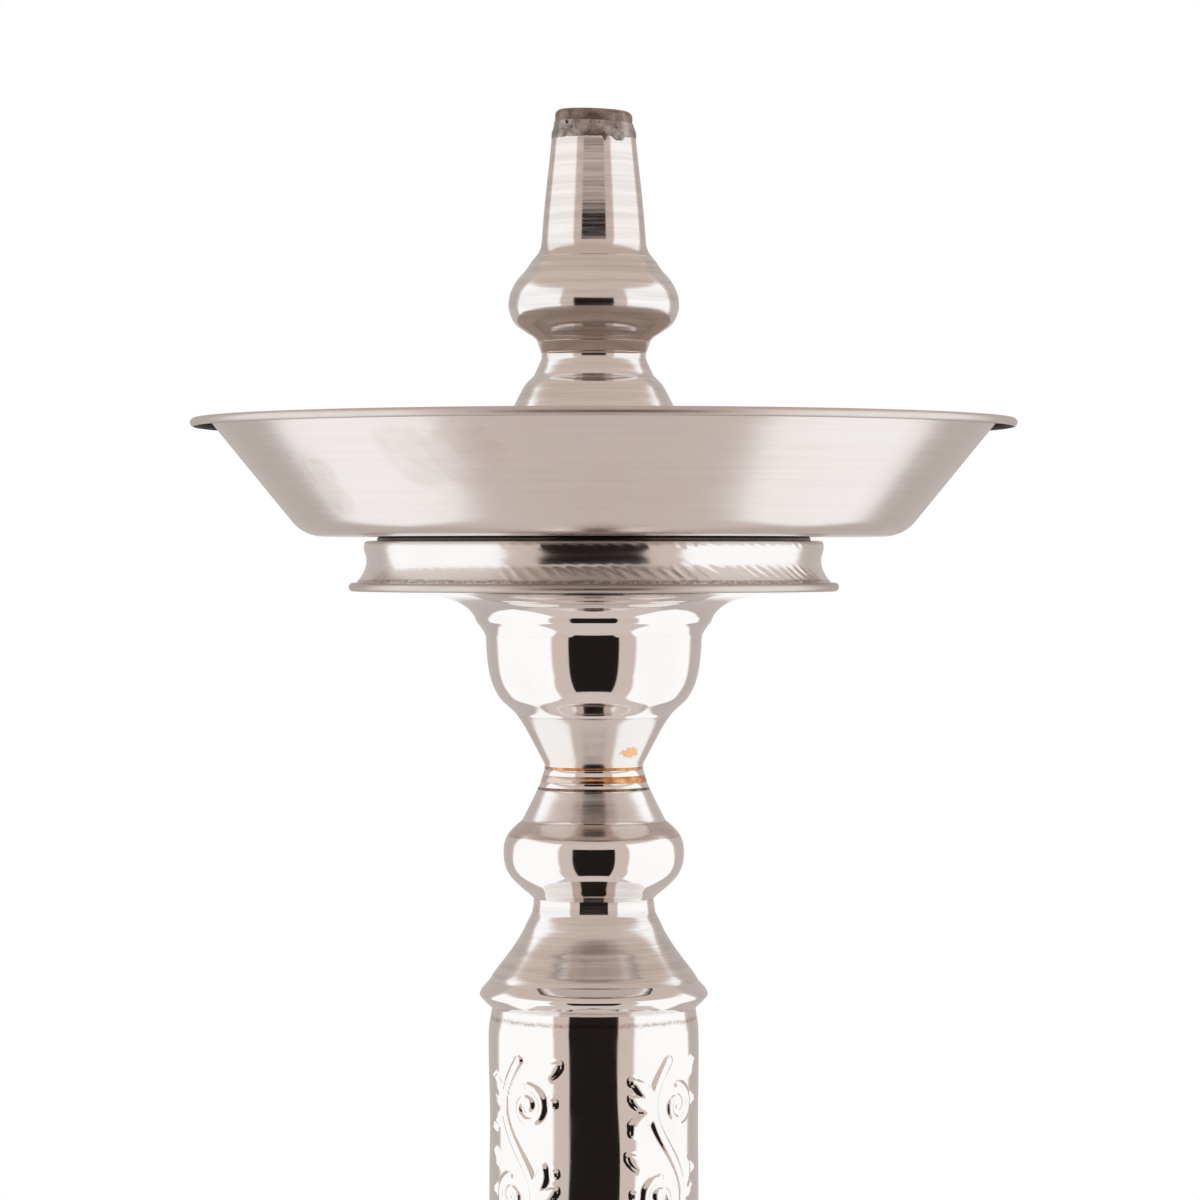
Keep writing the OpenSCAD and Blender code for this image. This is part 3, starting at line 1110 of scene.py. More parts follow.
def swell(vertex: bpy.types.MeshVertex, by: float) -> None:
    """Moves a point outward from the stem's axis.

    Args:
        vertex: the point.
        by: how far, in millimetres.
    """
    grow = 1 + by * MM / math.hypot(vertex.co.x, vertex.co.y)
    vertex.co.x *= grow
    vertex.co.y *= grow


@dataclass
class BowlEnd(SubAssembly):
    """The end that takes the bowl: the air pipe's tip in a solder ring, over the tapered port."""

    pipe_bore: float = 8.3
    worn_edge: float = 1.5  # rounding of the pipe's worn end
    worn_length: float = 12.0  # length of the tip, which has closer rows
    tilt: float = 0.75  # how much lower the pipe's end is on its right
    port: tuple[Point, ...] = (
        (0, 14.9), (0.5, 14.5), (1, 14.13), (1.5, 13.86), (2, 13.64), (2.5, 13.48), (3.1, 13.34),
        (4.5, 13.18), (6.6, 13.03), (9.6, 12.79), (12.6, 12.53), (15.7, 12.22), (18.7, 11.89),
        (21.8, 11.55), (24.8, 11.22), (27.9, 10.9), (30.1, 10.68),
    )
    solder: tuple[Point, ...] = (
        (0, 10.68), (1.3, 10.62), (1.9, 10.5), (2.6, 10.3), (3.3, 10.14), (4.0, 10.03),
        (4.35, 9.95),
    )
    skin: float = 0.1  # thickness of the solder that ran onto the port
    # angle in degrees, half width in degrees and length of each tongue of solder
    runs: tuple[Triple, ...] = ((15.5, 3.2, 1.2), (36, 9.5, 1.15), (-150, 12, 0.9))

    def build(self) -> None:
        """Makes the three pieces."""
        self.make_pipe()
        self.make_solder()
        # deep turning lines, which break every reflection into level streaks
        lined = TurnedNickel(
            "lathe_lined_nickel",
            tint="E4DBD5",
            roughness=0.075,
            smear=0.6,
            ring_pitch=1.3,
            ring_tilt=1.2,
            wave_pitch=5.0,
            wave_tilt=1.6,
            streaks=0.16,
            grain=0.3,
        )
        self.spin("bowl_port", sheet(flowing(self.port), SHELL, 0.05), lined, Slot.POLISHED)

    def make_pipe(self) -> None:
        """Makes the pipe with its worn round end, cut slightly askew."""
        foot, top = foot_of("air_pipe"), top_of("air_pipe")
        height = top - foot
        edge = self.worn_edge
        tip = height - self.worn_length
        section = (
            [(self.pipe_bore, 0), (PIPE_R, 0), (PIPE_R, tip)]
            + [(PIPE_R, tip + k) for k in range(1, 10)]
            + arc((PIPE_R - edge, height - edge), edge, 0, 90, 8)
            + [(self.pipe_bore, height - 0.4), (self.pipe_bore, tip)]
        )
        piece = Lathe.turn("air_pipe", section, foot)
        self.lean(piece, top - self.worn_length, top - self.worn_length / 2)
        # heat and handling have turned the copper grey-brown and dull
        tarnished = CastMetal(
            "tarnished_copper_pipe",
            "917D70",
            "5A493E",
            roughness=0.36,
            metallic=0.8,
            lump_pitch=2.2,
            lump_depth=0.02,
        )
        self.keep(piece, tarnished, Slot.PIPE, "air_pipe")

    def lean(self, piece: Piece, low: float, high: float) -> None:
        """Lowers the right side of a piece's top.

        Args:
            piece: the piece.
            low: height in millimetres where it starts.
            high: height from which the whole tilt is there.
        """
        for vertex in piece.data.vertices:
            share = max(0.0, min(1.0, (vertex.co.z / MM - low) / (high - low)))
            vertex.co.z -= share * self.tilt * MM * (vertex.co.x / (PIPE_R * MM) + 1) / 2

    def edge_at(self, turn: float) -> float:
        """Finds how high the solder's ragged lower edge is.

        Args:
            turn: angle in degrees from the front.

        Returns:
            Height over the solder's foot, in millimetres.
        """
        edge = -0.15
        for middle, half, length in self.runs:
            away = abs((turn - middle + 180) % 360 - 180) / half
            if away < 1.6:
                edge -= length * math.exp(-(away**4))
        spot = Vector((math.sin(math.radians(turn)), math.cos(math.radians(turn)), 0))
        return edge - 0.14 * noise.noise(spot * 7) - 0.08 * noise.noise(spot * 21)

    def make_solder(self) -> None:
        """Makes the lumpy ring whose lower edge runs out raggedly on the port."""
        foot = foot_of("port_solder")
        port_top = foot - foot_of("bowl_port")
        tail = [(r, z - port_top) for r, z in flowing(self.port) if z > port_top - 2.4]
        outer = tail[:-1] + flowing(self.solder, 0.25)
        inner = tail[0][0] - 0.5
        section = outer + [(PIPE_R, 4.3), (PIPE_R, 0.05)]
        section += [(inner, 0.05), (inner, tail[0][1])]
        piece = Lathe.turn("port_solder", section, foot, ((240, 360.0),), crease=70)
        for vertex in piece.data.vertices:
            across = math.hypot(vertex.co.x, vertex.co.y)
            height = vertex.co.z / MM - foot
            if across < (inner + 0.05) * MM or across < (PIPE_R + 0.1) * MM:
                continue
            spot = vertex.co / MM
            turn = math.degrees(math.atan2(vertex.co.x, -vertex.co.y))
            over = height - self.edge_at(turn)
            lump = 0.11 * noise.noise(spot * 0.7) + 0.05 * noise.noise(spot * 1.9)
            lump *= min(1.0, max(0.0, over / 1.5))
            skin = max(-0.3, min(self.skin, 0.45 * over)) * min(1.0, max(0.0, 1 - height / 3))
            swell(vertex, skin + lump)
        self.lean(piece, foot + 2.5, foot + 4.4)
        # grey, lumpy and pitted, with only a soft shine
        solder = CastMetal(
            "soft_solder",
            "ADA19A",
            "6A5F58",
            roughness=0.34,
            metallic=0.9,
            lump_pitch=1.6,
            lump_depth=0.06,
            pits=0.5,
        )
        self.keep(piece, solder, Slot.SOLDER, "port_solder")
        # a dark matt crust lies on the solder where it meets the pipe
        burnt = CastMetal(
            "burnt_flux",
            "4A413C",
            "2C2623",
            roughness=0.6,
            metallic=0.3,
            lump_pitch=0.8,
            lump_depth=0.03,
        )
        self.coat(piece, burnt, lambda middle, normal: normal.z > 0.55)


@dataclass
class Neck(SubAssembly):
    """Bulb, band and flared skirt that stand in the tray."""

    bulb: tuple[Point, ...] = (
        (0, 14.28), (0.5, 14.62), (1, 15.06), (1.5, 15.78), (2, 16.62), (2.5, 17.38), (3.5, 18.84),
        (5, 20.32), (6.55, 21.07), (8.1, 21.53), (9.6, 21.63), (11.1, 21.43), (12.65, 21.02),
        (14.2, 20.3), (15.7, 19.36), (16.7, 18.5), (17.7, 17.57), (18.75, 16.77), (19.8, 16.1),
        (20.8, 15.35), (21.3, 14.9),
    )
    skirt: tuple[Point, ...] = (
        (0, 23.5), (14, 23.5), (20, 23.35), (26, 22.7), (30, 21.75), (33.1, 20.26), (34.7, 19.45),
        (36.2, 18.68), (37.7, 17.87), (38.9, 17.05), (39.7, 16.3), (40.3, 15.62), (40.8, 15.2),
        (41.8, 14.7), (42.8, 14.22), (43.8, 13.77), (44.8, 13.35), (45.3, 13.22), (45.9, 13.2),
        (46.6, 13.34),
    )

    def build(self) -> None:
        """Makes the three pieces."""
        # turning lines that show as light and dark rings across the bulb
        lined = TurnedNickel(
            "turned_nickel",
            roughness=0.09,
            smear=0.6,
            ring_pitch=1.3,
            ring_tilt=1.5,
            wave_pitch=4.0,
            wave_tilt=2.6,
            streaks=0.14,
            grain=0.36,
        )
        # a satin ring, which only glows beside the bright shells
        satin = TurnedNickel(
            "satin_nickel_band", tint="E9DFD8", roughness=0.15, smear=0.5, ring_tilt=0.8, grain=0.15
        )
        # duller than the bulb, with fainter rings
        skirt = replace(lined, name="turned_nickel_skirt", streaks=0.2, grain=0.26)
        self.spin("upper_bulb", sheet(flowing(self.bulb), SHELL, 0.05), lined, Slot.POLISHED)
        self.spin("neck_band", block(12.05, 13.36, 14.27, 2.8, 0.1), satin, Slot.SATIN)
        self.spin("neck_skirt", sheet(flowing(self.skirt, 0.45), SHELL), skirt, Slot.POLISHED)


@dataclass
class AshTray(SubAssembly):
    """Dished tray spun from one sheet, with its rim curled over a wire."""

    body: Body = Body.TRAY
    wall: float = SHELL
    height: float = 29.8
    rim_r: float = 104.5
    lip: float = 5.3  # width of the level lip
    lean: float = 39.2  # degrees that the wall leans outward
    bend_r: float = 10.0  # radius of the bend from floor to wall
    bead_r: float = 1.1  # radius of the curl round the wire
    hole_r: float = 26.5
    steps: int = 288  # facets round the tray
    # where greasy fingers held it: x, y, z and reach of each print
    prints: tuple[tuple[float, float, float, float], ...] = (
        (-67, -56, 418.5, 6.5), (-63, -54, 412.5, 6), (-43, -80, 422, 10.5), (-30, -86, 422, 11),
    )

    def section(self) -> list[Point]:
        """Draws the sheet with its two bends and its curled edge.

        Returns:
            The closed section.
        """
        half = self.wall / 2
        top = self.height - half
        wall_top = self.rim_r - self.lip
        floor_r = wall_top - (self.height - self.wall) * math.tan(math.radians(self.lean))
        turn = 90 - self.lean
        reach = math.tan(math.radians(turn / 2))
        rim_bend = 2 * self.bead_r
        bend = (floor_r - self.bend_r * reach, half + self.bend_r)
        rim = (wall_top + rim_bend * reach, top - rim_bend)
        bead = (self.rim_r - self.bead_r, self.height - self.bead_r)
        enter = 180 - math.degrees(math.asin((self.bead_r - self.wall) / self.bead_r))
        floor = [self.hole_r + (bend[0] - self.hole_r) * k / 6 for k in range(1, 6)]
        span = [k / 8 for k in range(1, 8)]

        def between(a: Point, b: Point) -> list[Point]:
            """Points on the straight wall between two bends."""
            return [(a[0] + (b[0] - a[0]) * t, a[1] + (b[1] - a[1]) * t) for t in span]

        low_bend = arc(bend, self.bend_r + half, -90, -90 + turn, 14)
        low_rim = arc(rim, rim_bend - half, 90 + turn, 90, 8)
        high_rim = arc(rim, rim_bend + half, 90, 90 + turn, 8)
        high_bend = arc(bend, self.bend_r - half, -90 + turn, -90, 14)
        return (
            [(self.hole_r, half), (self.hole_r + 0.12, 0.12), (self.hole_r + half, 0)]
            + [(r, 0) for r in floor]
            + low_bend
            + between(low_bend[-1], low_rim[0])
            + low_rim
            + arc(bead, self.bead_r, enter, 450, 26)
            + [(rim[0] + 1, self.height)]
            + high_rim
            + between(high_rim[-1], high_bend[0])
            + high_bend
            + [(r, self.wall) for r in floor[::-1]]
            + [(self.hole_r + half, self.wall), (self.hole_r + 0.12, self.wall - 0.12)]
        )

    def build(self) -> None:
        """Makes the tray."""
        low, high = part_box("ash_tray")
        axis_x = (low.x + high.x) / 2 / MM
        sectors = ((self.steps, 360.0),)
        piece = Lathe.turn("ash_tray", self.section(), foot_of("ash_tray"), sectors, axis_x)
        # brushed fine, so the soft boxes spread into broad pale bands on the wall
        brushed = Handled(
            "lathe_brushed_sheet",
            tint="DFD6D1",
            roughness=0.2,
            smear=0.55,
            ring_pitch=0.8,
            ring_tilt=0.9,
            wave_pitch=7.0,
            wave_tilt=0.5,
            streaks=0.06,
            dull=0.02,
            grain=0.05,
            axis_x=axis_x,
            prints=self.prints,
        )
        self.keep(piece, brushed, Slot.TRAY, "ash_tray")
        self.dress_hidden_sides(piece, axis_x)

    def dress_hidden_sides(self, piece: Piece, axis_x: float) -> None:
        """Dulls what ash and the seat have rubbed, and colours the hollow inside the curled edge
        black as painted shade.

        Args:
            piece: the tray, with its first finish on.
            axis_x: place of its axis along X, in millimetres.
        """
        foot = foot_of("ash_tray")
        wall_top = self.rim_r - self.lip

        def placed(middle: Vector, normal: Vector) -> Point:
            """Measures a face's middle and normal outward from the tray's axis.

            Args:
                middle: middle of the face.
                normal: its normal.

            Returns:
                Distance from the axis, and that distance times the normal's outward part.
            """
            x, y = middle.x - axis_x * MM, middle.y
            return math.hypot(x, y), normal.x * x + normal.y * y

        def rubbed(middle: Vector, normal: Vector) -> bool:
            """Tells whether a face is the dish's inside."""
            across, outward = placed(middle, normal)
            return (normal.z > 0.3 or outward < 0) and across < (wall_top - 0.5) * MM

        def lipped(middle: Vector, normal: Vector) -> bool:
            """Tells whether it is the curled edge, which rubs on whatever the tray lies on."""
            across, _ = placed(middle, normal)
            return across > (wall_top + 0.3) * MM and middle.z > (foot + self.height - 3.2) * MM

        def underneath(middle: Vector, normal: Vector) -> bool:
            """Tells whether it is the floor's underside."""
            return normal.z < -0.999 and middle.z < (foot + 0.1) * MM

        def in_curl_shade(middle: Vector, normal: Vector) -> bool:
            """Tells whether it is in the hollow between the lip and its curl, which gets painted
            shade.
            """
            across, outward = placed(middle, normal)
            return across > (wall_top + 1.3) * MM and normal.z < 0.5 and outward < 0.28 * across

        # hot ash has dulled the dish to a grey sheen
        dulled = TurnedNickel(
            "ash_dulled_sheet",
            tint="BFB6B0",
            roughness=0.3,
            smear=0.7,
            ring_tilt=0.6,
            streaks=0.1,
            dull=0.12,
            axis_x=axis_x,
        )
        # scuffed, so the rim draws one soft line of light
        rim = TurnedNickel(
            "rubbed_rim_sheet",
            tint="D6CBC5",
            roughness=0.36,
            smear=0.5,
            ring_tilt=0.5,
            streaks=0.08,
            dull=0.1,
            axis_x=axis_x,
        )
        # brushed round and round, which drags what it mirrors out along its radius
        coarse = TurnedNickel(
            "coarse_brushed_sheet",
            tint="E2D8D1",
            roughness=0.3,
            smear=0.8,
            ring_tilt=0.6,
            streaks=0.1,
            axis_x=axis_x,
        )
        # painted shade: a black matt coat in the hollow of the curl draws the dark line under the
        # rim
        curl_shade = CastMetal(
            "painted_shade_in_curl",
            "2E2826",
            "161312",
            roughness=0.7,
            metallic=0.0,
            lump_pitch=1.0,
            lump_depth=0.03,
        )
        self.coat(piece, dulled, rubbed)
        self.coat(piece, rim, lipped)
        self.coat(piece, coarse, underneath)
        self.coat(piece, curl_shade, in_curl_shade)


@dataclass
class TraySeat(SubAssembly):
    """Round seat under the tray: a drawn-in wall, a raised plate and a hemmed flange."""

    wall_profile: tuple[Point, ...] = (
        (1.2, 60.2), (1.8, 59.85), (2.4, 59.36), (3.1, 58.86), (3.9, 58.39), (4.7, 58.02),
        (5.5, 57.76), (6.3, 57.62), (7.1, 57.59), (7.8, 57.66), (8.5, 57.84), (9.2, 58.05),
        (9.8, 58.18), (10.5, 58.22),
    )
    throat_r: float = 27.45
    # how much the throat leans outward at each height
    leans: tuple[Point, ...] = (
        (0, 0.3), (0.2, 0.42), (0.5, 0.5), (1, 0.57), (1.5, 0.63), (2, 0.69), (2.5, 0.78),
        (2.9, 0.9), (3.2, 0.88), (3.4, 0.62), (3.5, 0.48), (3.7, 0.42), (4.1, 0.37), (4.5, 0.4),
        (4.75, 0.5), (5, 0.61), (5.5, 0.72), (6, 0.86), (6.5, 1.02), (7, 1.25), (7.5, 1.55),
        (8, 1.95), (8.5, 2.5), (9, 3.3), (9.5, 4.5), (9.9, 5.9), (10.3, 8.6), (10.65, 13),
        (10.95, 21),
    )
    hem: Point = (61.0, 12.3)  # radius and height of the hem's middle
    hem_r: float = 1.1
    chatter: float = 0.2  # depth of the spinning tool's chatter marks
    chatter_count: int = 100  # marks round the seat
    chatter_heading: float = math.radians(-62)  # direction in which they are strongest

    def build(self) -> None:
        """Makes the three pieces."""
        self.make_wall()
        plate = [
            (PIPE_R, 12.25), (54.0, 12.25), (54.2, 9.55), (56.9, 9.55), (56.9, 10.35),
            (55.0, 10.35), (54.9, 12.6), (54.5, 13.0), (54.0, 13.05), (PIPE_R, 13.05),
        ]
        piece = Lathe.turn("seat_plate", plate, foot_of("tray_seat"), ((FINE_STEPS, 360.0),))
        # painted shade: the plate is tinted dark brown so that the gap under the tray stays dark
        tarnished = TurnedNickel("painted_shade_seat_plate", tint="5A504A", roughness=0.35)
        self.keep(piece, tarnished, Slot.SATIN, "seat_plate")
        self.make_flange()

    def make_wall(self) -> None:
        """Makes the drawn-in wall, with its rolled top edge and slanting chatter marks."""
        foot, top = foot_of("tray_seat"), top_of("tray_seat") - foot_of("tray_seat")
        roll = 0.96  # radius of the rolled edge
        steps = 672  # facets round the wall, close enough to carry the marks
        outer = [(59.9, 0)] + flowing(self.wall_profile, 0.3)
        outer += arc((58.2 - roll, top - roll), roll, 8, 90, 8) + [(55.6, top)]
        inner = [(r - SHELL, z) for r, z in outer if z < top - 1.2][::-1]
        section = outer + [(55.6, top - SHELL), (57.0, top - SHELL)] + inner
        piece = Lathe.turn("tray_seat", section, foot, ((steps, 360.0),))
        for vertex in piece.data.vertices:
            across = math.hypot(vertex.co.x, vertex.co.y)
            if across < 57.3 * MM:
                continue
            turn = math.atan2(vertex.co.y, vertex.co.x)
            height = vertex.co.z / MM - foot
            # one row of marks low on the wall, and a fainter one under the rolled edge
            low = math.exp(-(((height - 3.8) / 1.5) ** 2))
            high = 0.7 * math.exp(-(((height - 10.9) / 0.5) ** 2))
            # strongest to the right of the front, and next to none on the left
            strong = 0.1 + max(0.0, math.cos(turn - self.chatter_heading)) ** 3
            wander = noise.noise(Vector((vertex.co.x, vertex.co.y, 0)) / MM * 0.11)
            ripple = math.sin(self.chatter_count * turn + 2.2 * height + 2.5 * wander)
            mark = max(-0.35, ripple) * (low + high) * strong * max(0.3, 0.8 + 1.2 * wander)
            swell(vertex, self.chatter * mark)
        # bright but not buffed, with a dirty line of flux along the hem
        bright = ResidueLine(
            "bright_spun_nickel",
            roughness=0.14,
            smear=0.7,
            ring_tilt=0.8,
            wave_tilt=1.2,
            streaks=0.1,
            heights=(foot + 1.55, foot + 2.0),
            half_width=0.4,
            stain="4A3B33",
        )
        self.keep(piece, bright, Slot.POLISHED, "tray_seat")

    def make_flange(self) -> None:
        """Makes the trumpet throat and its flange, hemmed round the wall's foot."""
        under = leaning(self.throat_r, self.leans) + [(58.2, 11.2)]
        centre, z = self.hem
        section = (
            under
            + [(60.4, 11.2)]
            + arc((centre, z), self.hem_r, -95, 175, 18)
            + [(59.92, 12.0), (59.5, 12.0)]
            + [(r, h + SHELL) for r, h in under[::-3] if h > 10.3]
            + [(r - 0.9, h + 0.5) for r, h in under[::-3] if 0.3 < h <= 10.3]
            + [(under[0][0] - SHELL, 0)]
        )
        piece = self.spin("seat_flange", section, MIRROR, Slot.POLISHED, FINE_STEPS)
        # the hem is knocked about, and shows grey beside the mirror under it
        rubbed = TurnedNickel(
            "rubbed_hem_nickel",
            tint="CDC1B9",
            roughness=0.3,
            smear=0.3,
            ring_tilt=0.6,
            streaks=0.1,
            dull=0.12,
        )
        self.coat(piece, rubbed, lambda middle, normal: math.hypot(middle.x, middle.y) > 59.6 * MM)


@dataclass
class Cup(SubAssembly):
    """Round cup under the flange, and the satin cone that it stands on."""

    cup: tuple[Point, ...] = (
        (0, 19.25), (0.4, 19.5), (1.1, 20.12), (1.85, 20.92), (2.6, 21.77), (3.35, 22.63),
        (4.1, 23.38), (5.6, 24.42), (7.2, 25.27), (8.7, 25.86), (10.2, 26.3), (11.7, 26.62),
        (13.3, 26.87), (14.8, 27.04), (16.3, 27.17), (18, 27.28), (19.4, 27.33), (20.5, 27.42),
    )
    cone: tuple[Point, ...] = (
        (0, 12.43), (0.5, 12.48), (0.9, 12.62), (1.6, 12.97), (2.4, 13.39), (3.9, 14.18),
        (5.4, 14.97), (6.9, 15.76), (8.5, 16.62), (10, 17.45), (11.5, 18.38), (12.7, 19.25),
    )

    def build(self) -> None:
        """Makes the two pieces."""
        self.spin("cup", sheet(flowing(self.cup), SHELL, 0.02), MIRROR, Slot.POLISHED)
        # a soft grey glow, with the one copper spot that catches the eye
        worn = WornPlate(
            "satin_nickel_worn",
            tint="E1D9D4",
            roughness=0.15,
            smear=0.4,
            ring_tilt=0.5,
            wave_tilt=0.5,
            streaks=0.08,
            spot=(9.2, -10.9, foot_of("cup_cone") + 3.9),
            reach=3.4,
        )
        self.spin("cup_cone", sheet(flowing(self.cone), SHELL, 0.05), worn, Slot.SATIN)


@dataclass
class Waist(SubAssembly):
    """Two bright rings on the air pipe, with bare brazing metal above, between and below them."""

    edge: float = 0.06  # rounding of a ring's outer edges
    lump: float = 0.05  # how far the braze's lumps stand out

    def build(self) -> None:
        """Makes the five rings."""
        # plate still covers its left side, so only the right side is copper-coloured
        part_plated = replace(BARE_BRAZE, name="braze_part_plated", plated_left=True)
        # soot in the skin turns it brown
        sooted = replace(BARE_BRAZE, name="sooted_braze", pale="A98A74", dark="54443B")
        edge = self.edge
        for node, foot_r, top_r, finish in (
            ("braze_upper", 12.5, 12.47, BARE_BRAZE),
            ("waist_ring_upper", 12.98, 12.48, MIRROR),
            ("braze_middle", 13.42, 12.98, part_plated),
            ("waist_ring_lower", 13.98, 13.42, MIRROR),
            ("braze_lower", 14.3, 13.98, sooted),
        ):
            height = top_of(node) - foot_of(node)
            section = [
                (PIPE_R, 0),
                (foot_r - edge, 0),
                (foot_r, edge),
                ((foot_r + top_r) / 2 + 0.03, height / 2),
                (top_r, height - edge),
                (top_r - edge, height),
                (PIPE_R, height),
            ]
            piece = Lathe.turn(node, section, foot_of(node), ((FINE_STEPS, 360.0),), crease=60)
            if finish is MIRROR:
                self.keep(piece, finish, Slot.POLISHED, node)
                continue
            for vertex in piece.data.vertices:
                if math.hypot(vertex.co.x, vertex.co.y) > (PIPE_R + 1) * MM:
                    swell(vertex, self.lump * noise.noise(vertex.co / MM * 0.8))
            self.keep(piece, finish, Slot.BRAZE, node)


@dataclass
class KnopGroup(SubAssembly):
    """A knop with its flared skirt and the beaded edge ring that closes the sleeve."""

    turned_over: bool = False
    bright_from: float = 16.0  # height of the skirt where it is polished bright
    cone: tuple[Point, ...] = (
        (0, 18.38), (0.5, 18.04), (1, 17.77), (1.7, 17.4), (2.5, 16.99), (3.25, 16.61), (4, 16.23),
        (5.5, 15.48), (7, 14.76), (8, 14.29),
    )
    knop: tuple[Point, ...] = (
        (0, 15.25), (0.55, 15.76), (1.3, 16.6), (2.05, 17.52), (3.1, 18.76), (4.6, 20.3),
        (6.1, 21.47), (7.6, 22.22), (9.15, 22.67), (10.7, 22.86), (12.2, 22.88), (13.7, 22.75),
        (15.2, 22.3), (16.0, 21.88), (16.8, 21.32), (17.5, 20.7), (18.3, 19.92), (19.0, 19.15),
        (19.6, 18.45),
    )
    skirt: tuple[Point, ...] = (
        (0, 26.53), (0.8, 26.05), (1.6, 25.58), (2.4, 25.02), (3.8, 23.94), (5.35, 22.73),
        (6.9, 21.59), (8.4, 20.5), (9.9, 19.51), (11.4, 18.58), (13, 17.72), (14.2, 17.16),
        (15.3, 16.62), (16.2, 16.14), (16.7, 15.88), (17.1, 15.7), (17.5, 15.59), (18.1, 15.49),
        (18.8, 15.38), (19.5, 15.29), (20.2, 15.21), (20.8, 15.2),
    )
    ring: tuple[Point, ...] = (
        (0, 25.85), (0.45, 26.32), (1.2, 27.14), (2.2, 28.14), (2.6, 28.5), (2.95, 28.78),
        (3.2, 28.91), (3.45, 28.96), (3.7, 28.92), (4.1, 28.78), (4.6, 28.51), (5.1, 28.17),
        (5.7, 27.66), (6.3, 27.11), (6.9, 26.53),
    )

    def build(self) -> None:
        """Makes the pieces, upright or turned over."""
        side = "lower" if self.turned_over else "upper"
        if not self.turned_over:
            # a soft grey glow between two mirrors
            satin = TurnedNickel(
                "satin_nickel",
                roughness=0.13,
                smear=0.4,
                ring_tilt=0.8,
                wave_tilt=0.5,
                streaks=0.1,
            )
            self.spin("knop_cone", sheet(flowing(self.cone), SHELL, 0.05), satin, Slot.SATIN)
        knop = list(self.knop)
        if self.turned_over:
            # the same bowl below and above, as nothing stands on this knop but the skirt
            lower = [(h * 0.92, r - 0.05) for h, r in self.knop if h < 11]
            knop = lower + [(self.knop[-1][0] - h, r) for h, r in lower[::-1]]
        sections = {
            f"{side}_knop": sheet(flowing(knop), SHELL, 0.05),
            f"{side}_skirt": sheet(flowing(self.skirt), SHELL, 0.05),
            f"{side}_edge_ring": flowing(self.ring, 0.22) + [(24.65, 6.9), (24.65, 0)],
        }
        for node, section in sections.items():
            height = top_of(node) - foot_of(node)
            if self.turned_over and not node.endswith("knop"):
                section = flipped(section, height)[::-1]
            finish, slot = MIRROR, Slot.POLISHED
            if node.endswith("skirt"):
                bright = height - self.bright_from if self.turned_over else self.bright_from
                # belt marks along the bell, and a mirror only at its narrow end
                finish = HalfPolished(
                    f"belt_polished_nickel_{side}",
                    roughness=0.06,
                    smear=0.9,
                    ring_pitch=1.3,
                    ring_tilt=1.8,
                    wave_pitch=3.5,
                    wave_tilt=2.2,
                    streaks=0.1,
                    grain=0.34,
                    bright_above=foot_of(node) + bright,
                    fade=1.2,
                    matt=0.12,
                    upward=not self.turned_over,
                )
                slot = Slot.BRUSHED
            piece = self.spin(node, section, finish, slot)
            if node.endswith("knop"):
                self.dull_and_shade_shoulder(piece)

    def dull_and_shade_shoulder(self, piece: Piece) -> None:
        """Dulls the shoulder next to the cone, which the buffing wheel can't reach, and tints it
        darker and browner as painted shade from the parts it faces.

        Args:
            piece: the knop.
        """
        toward = -1 if self.turned_over else 1
        # a rougher finish, and a brownish tint that is painted shade over what it mirrors
        hazed_and_shaded = TurnedNickel(
            "unbuffed_nickel_painted_shade",
            tint="D0C2B9",
            roughness=0.14,
            smear=0.6,
            ring_tilt=0.8,
            wave_tilt=0.8,
            streaks=0.14,
            grain=0.2,
        )
        self.coat(piece, hazed_and_shaded, lambda middle, normal: normal.z * toward > 0.5)


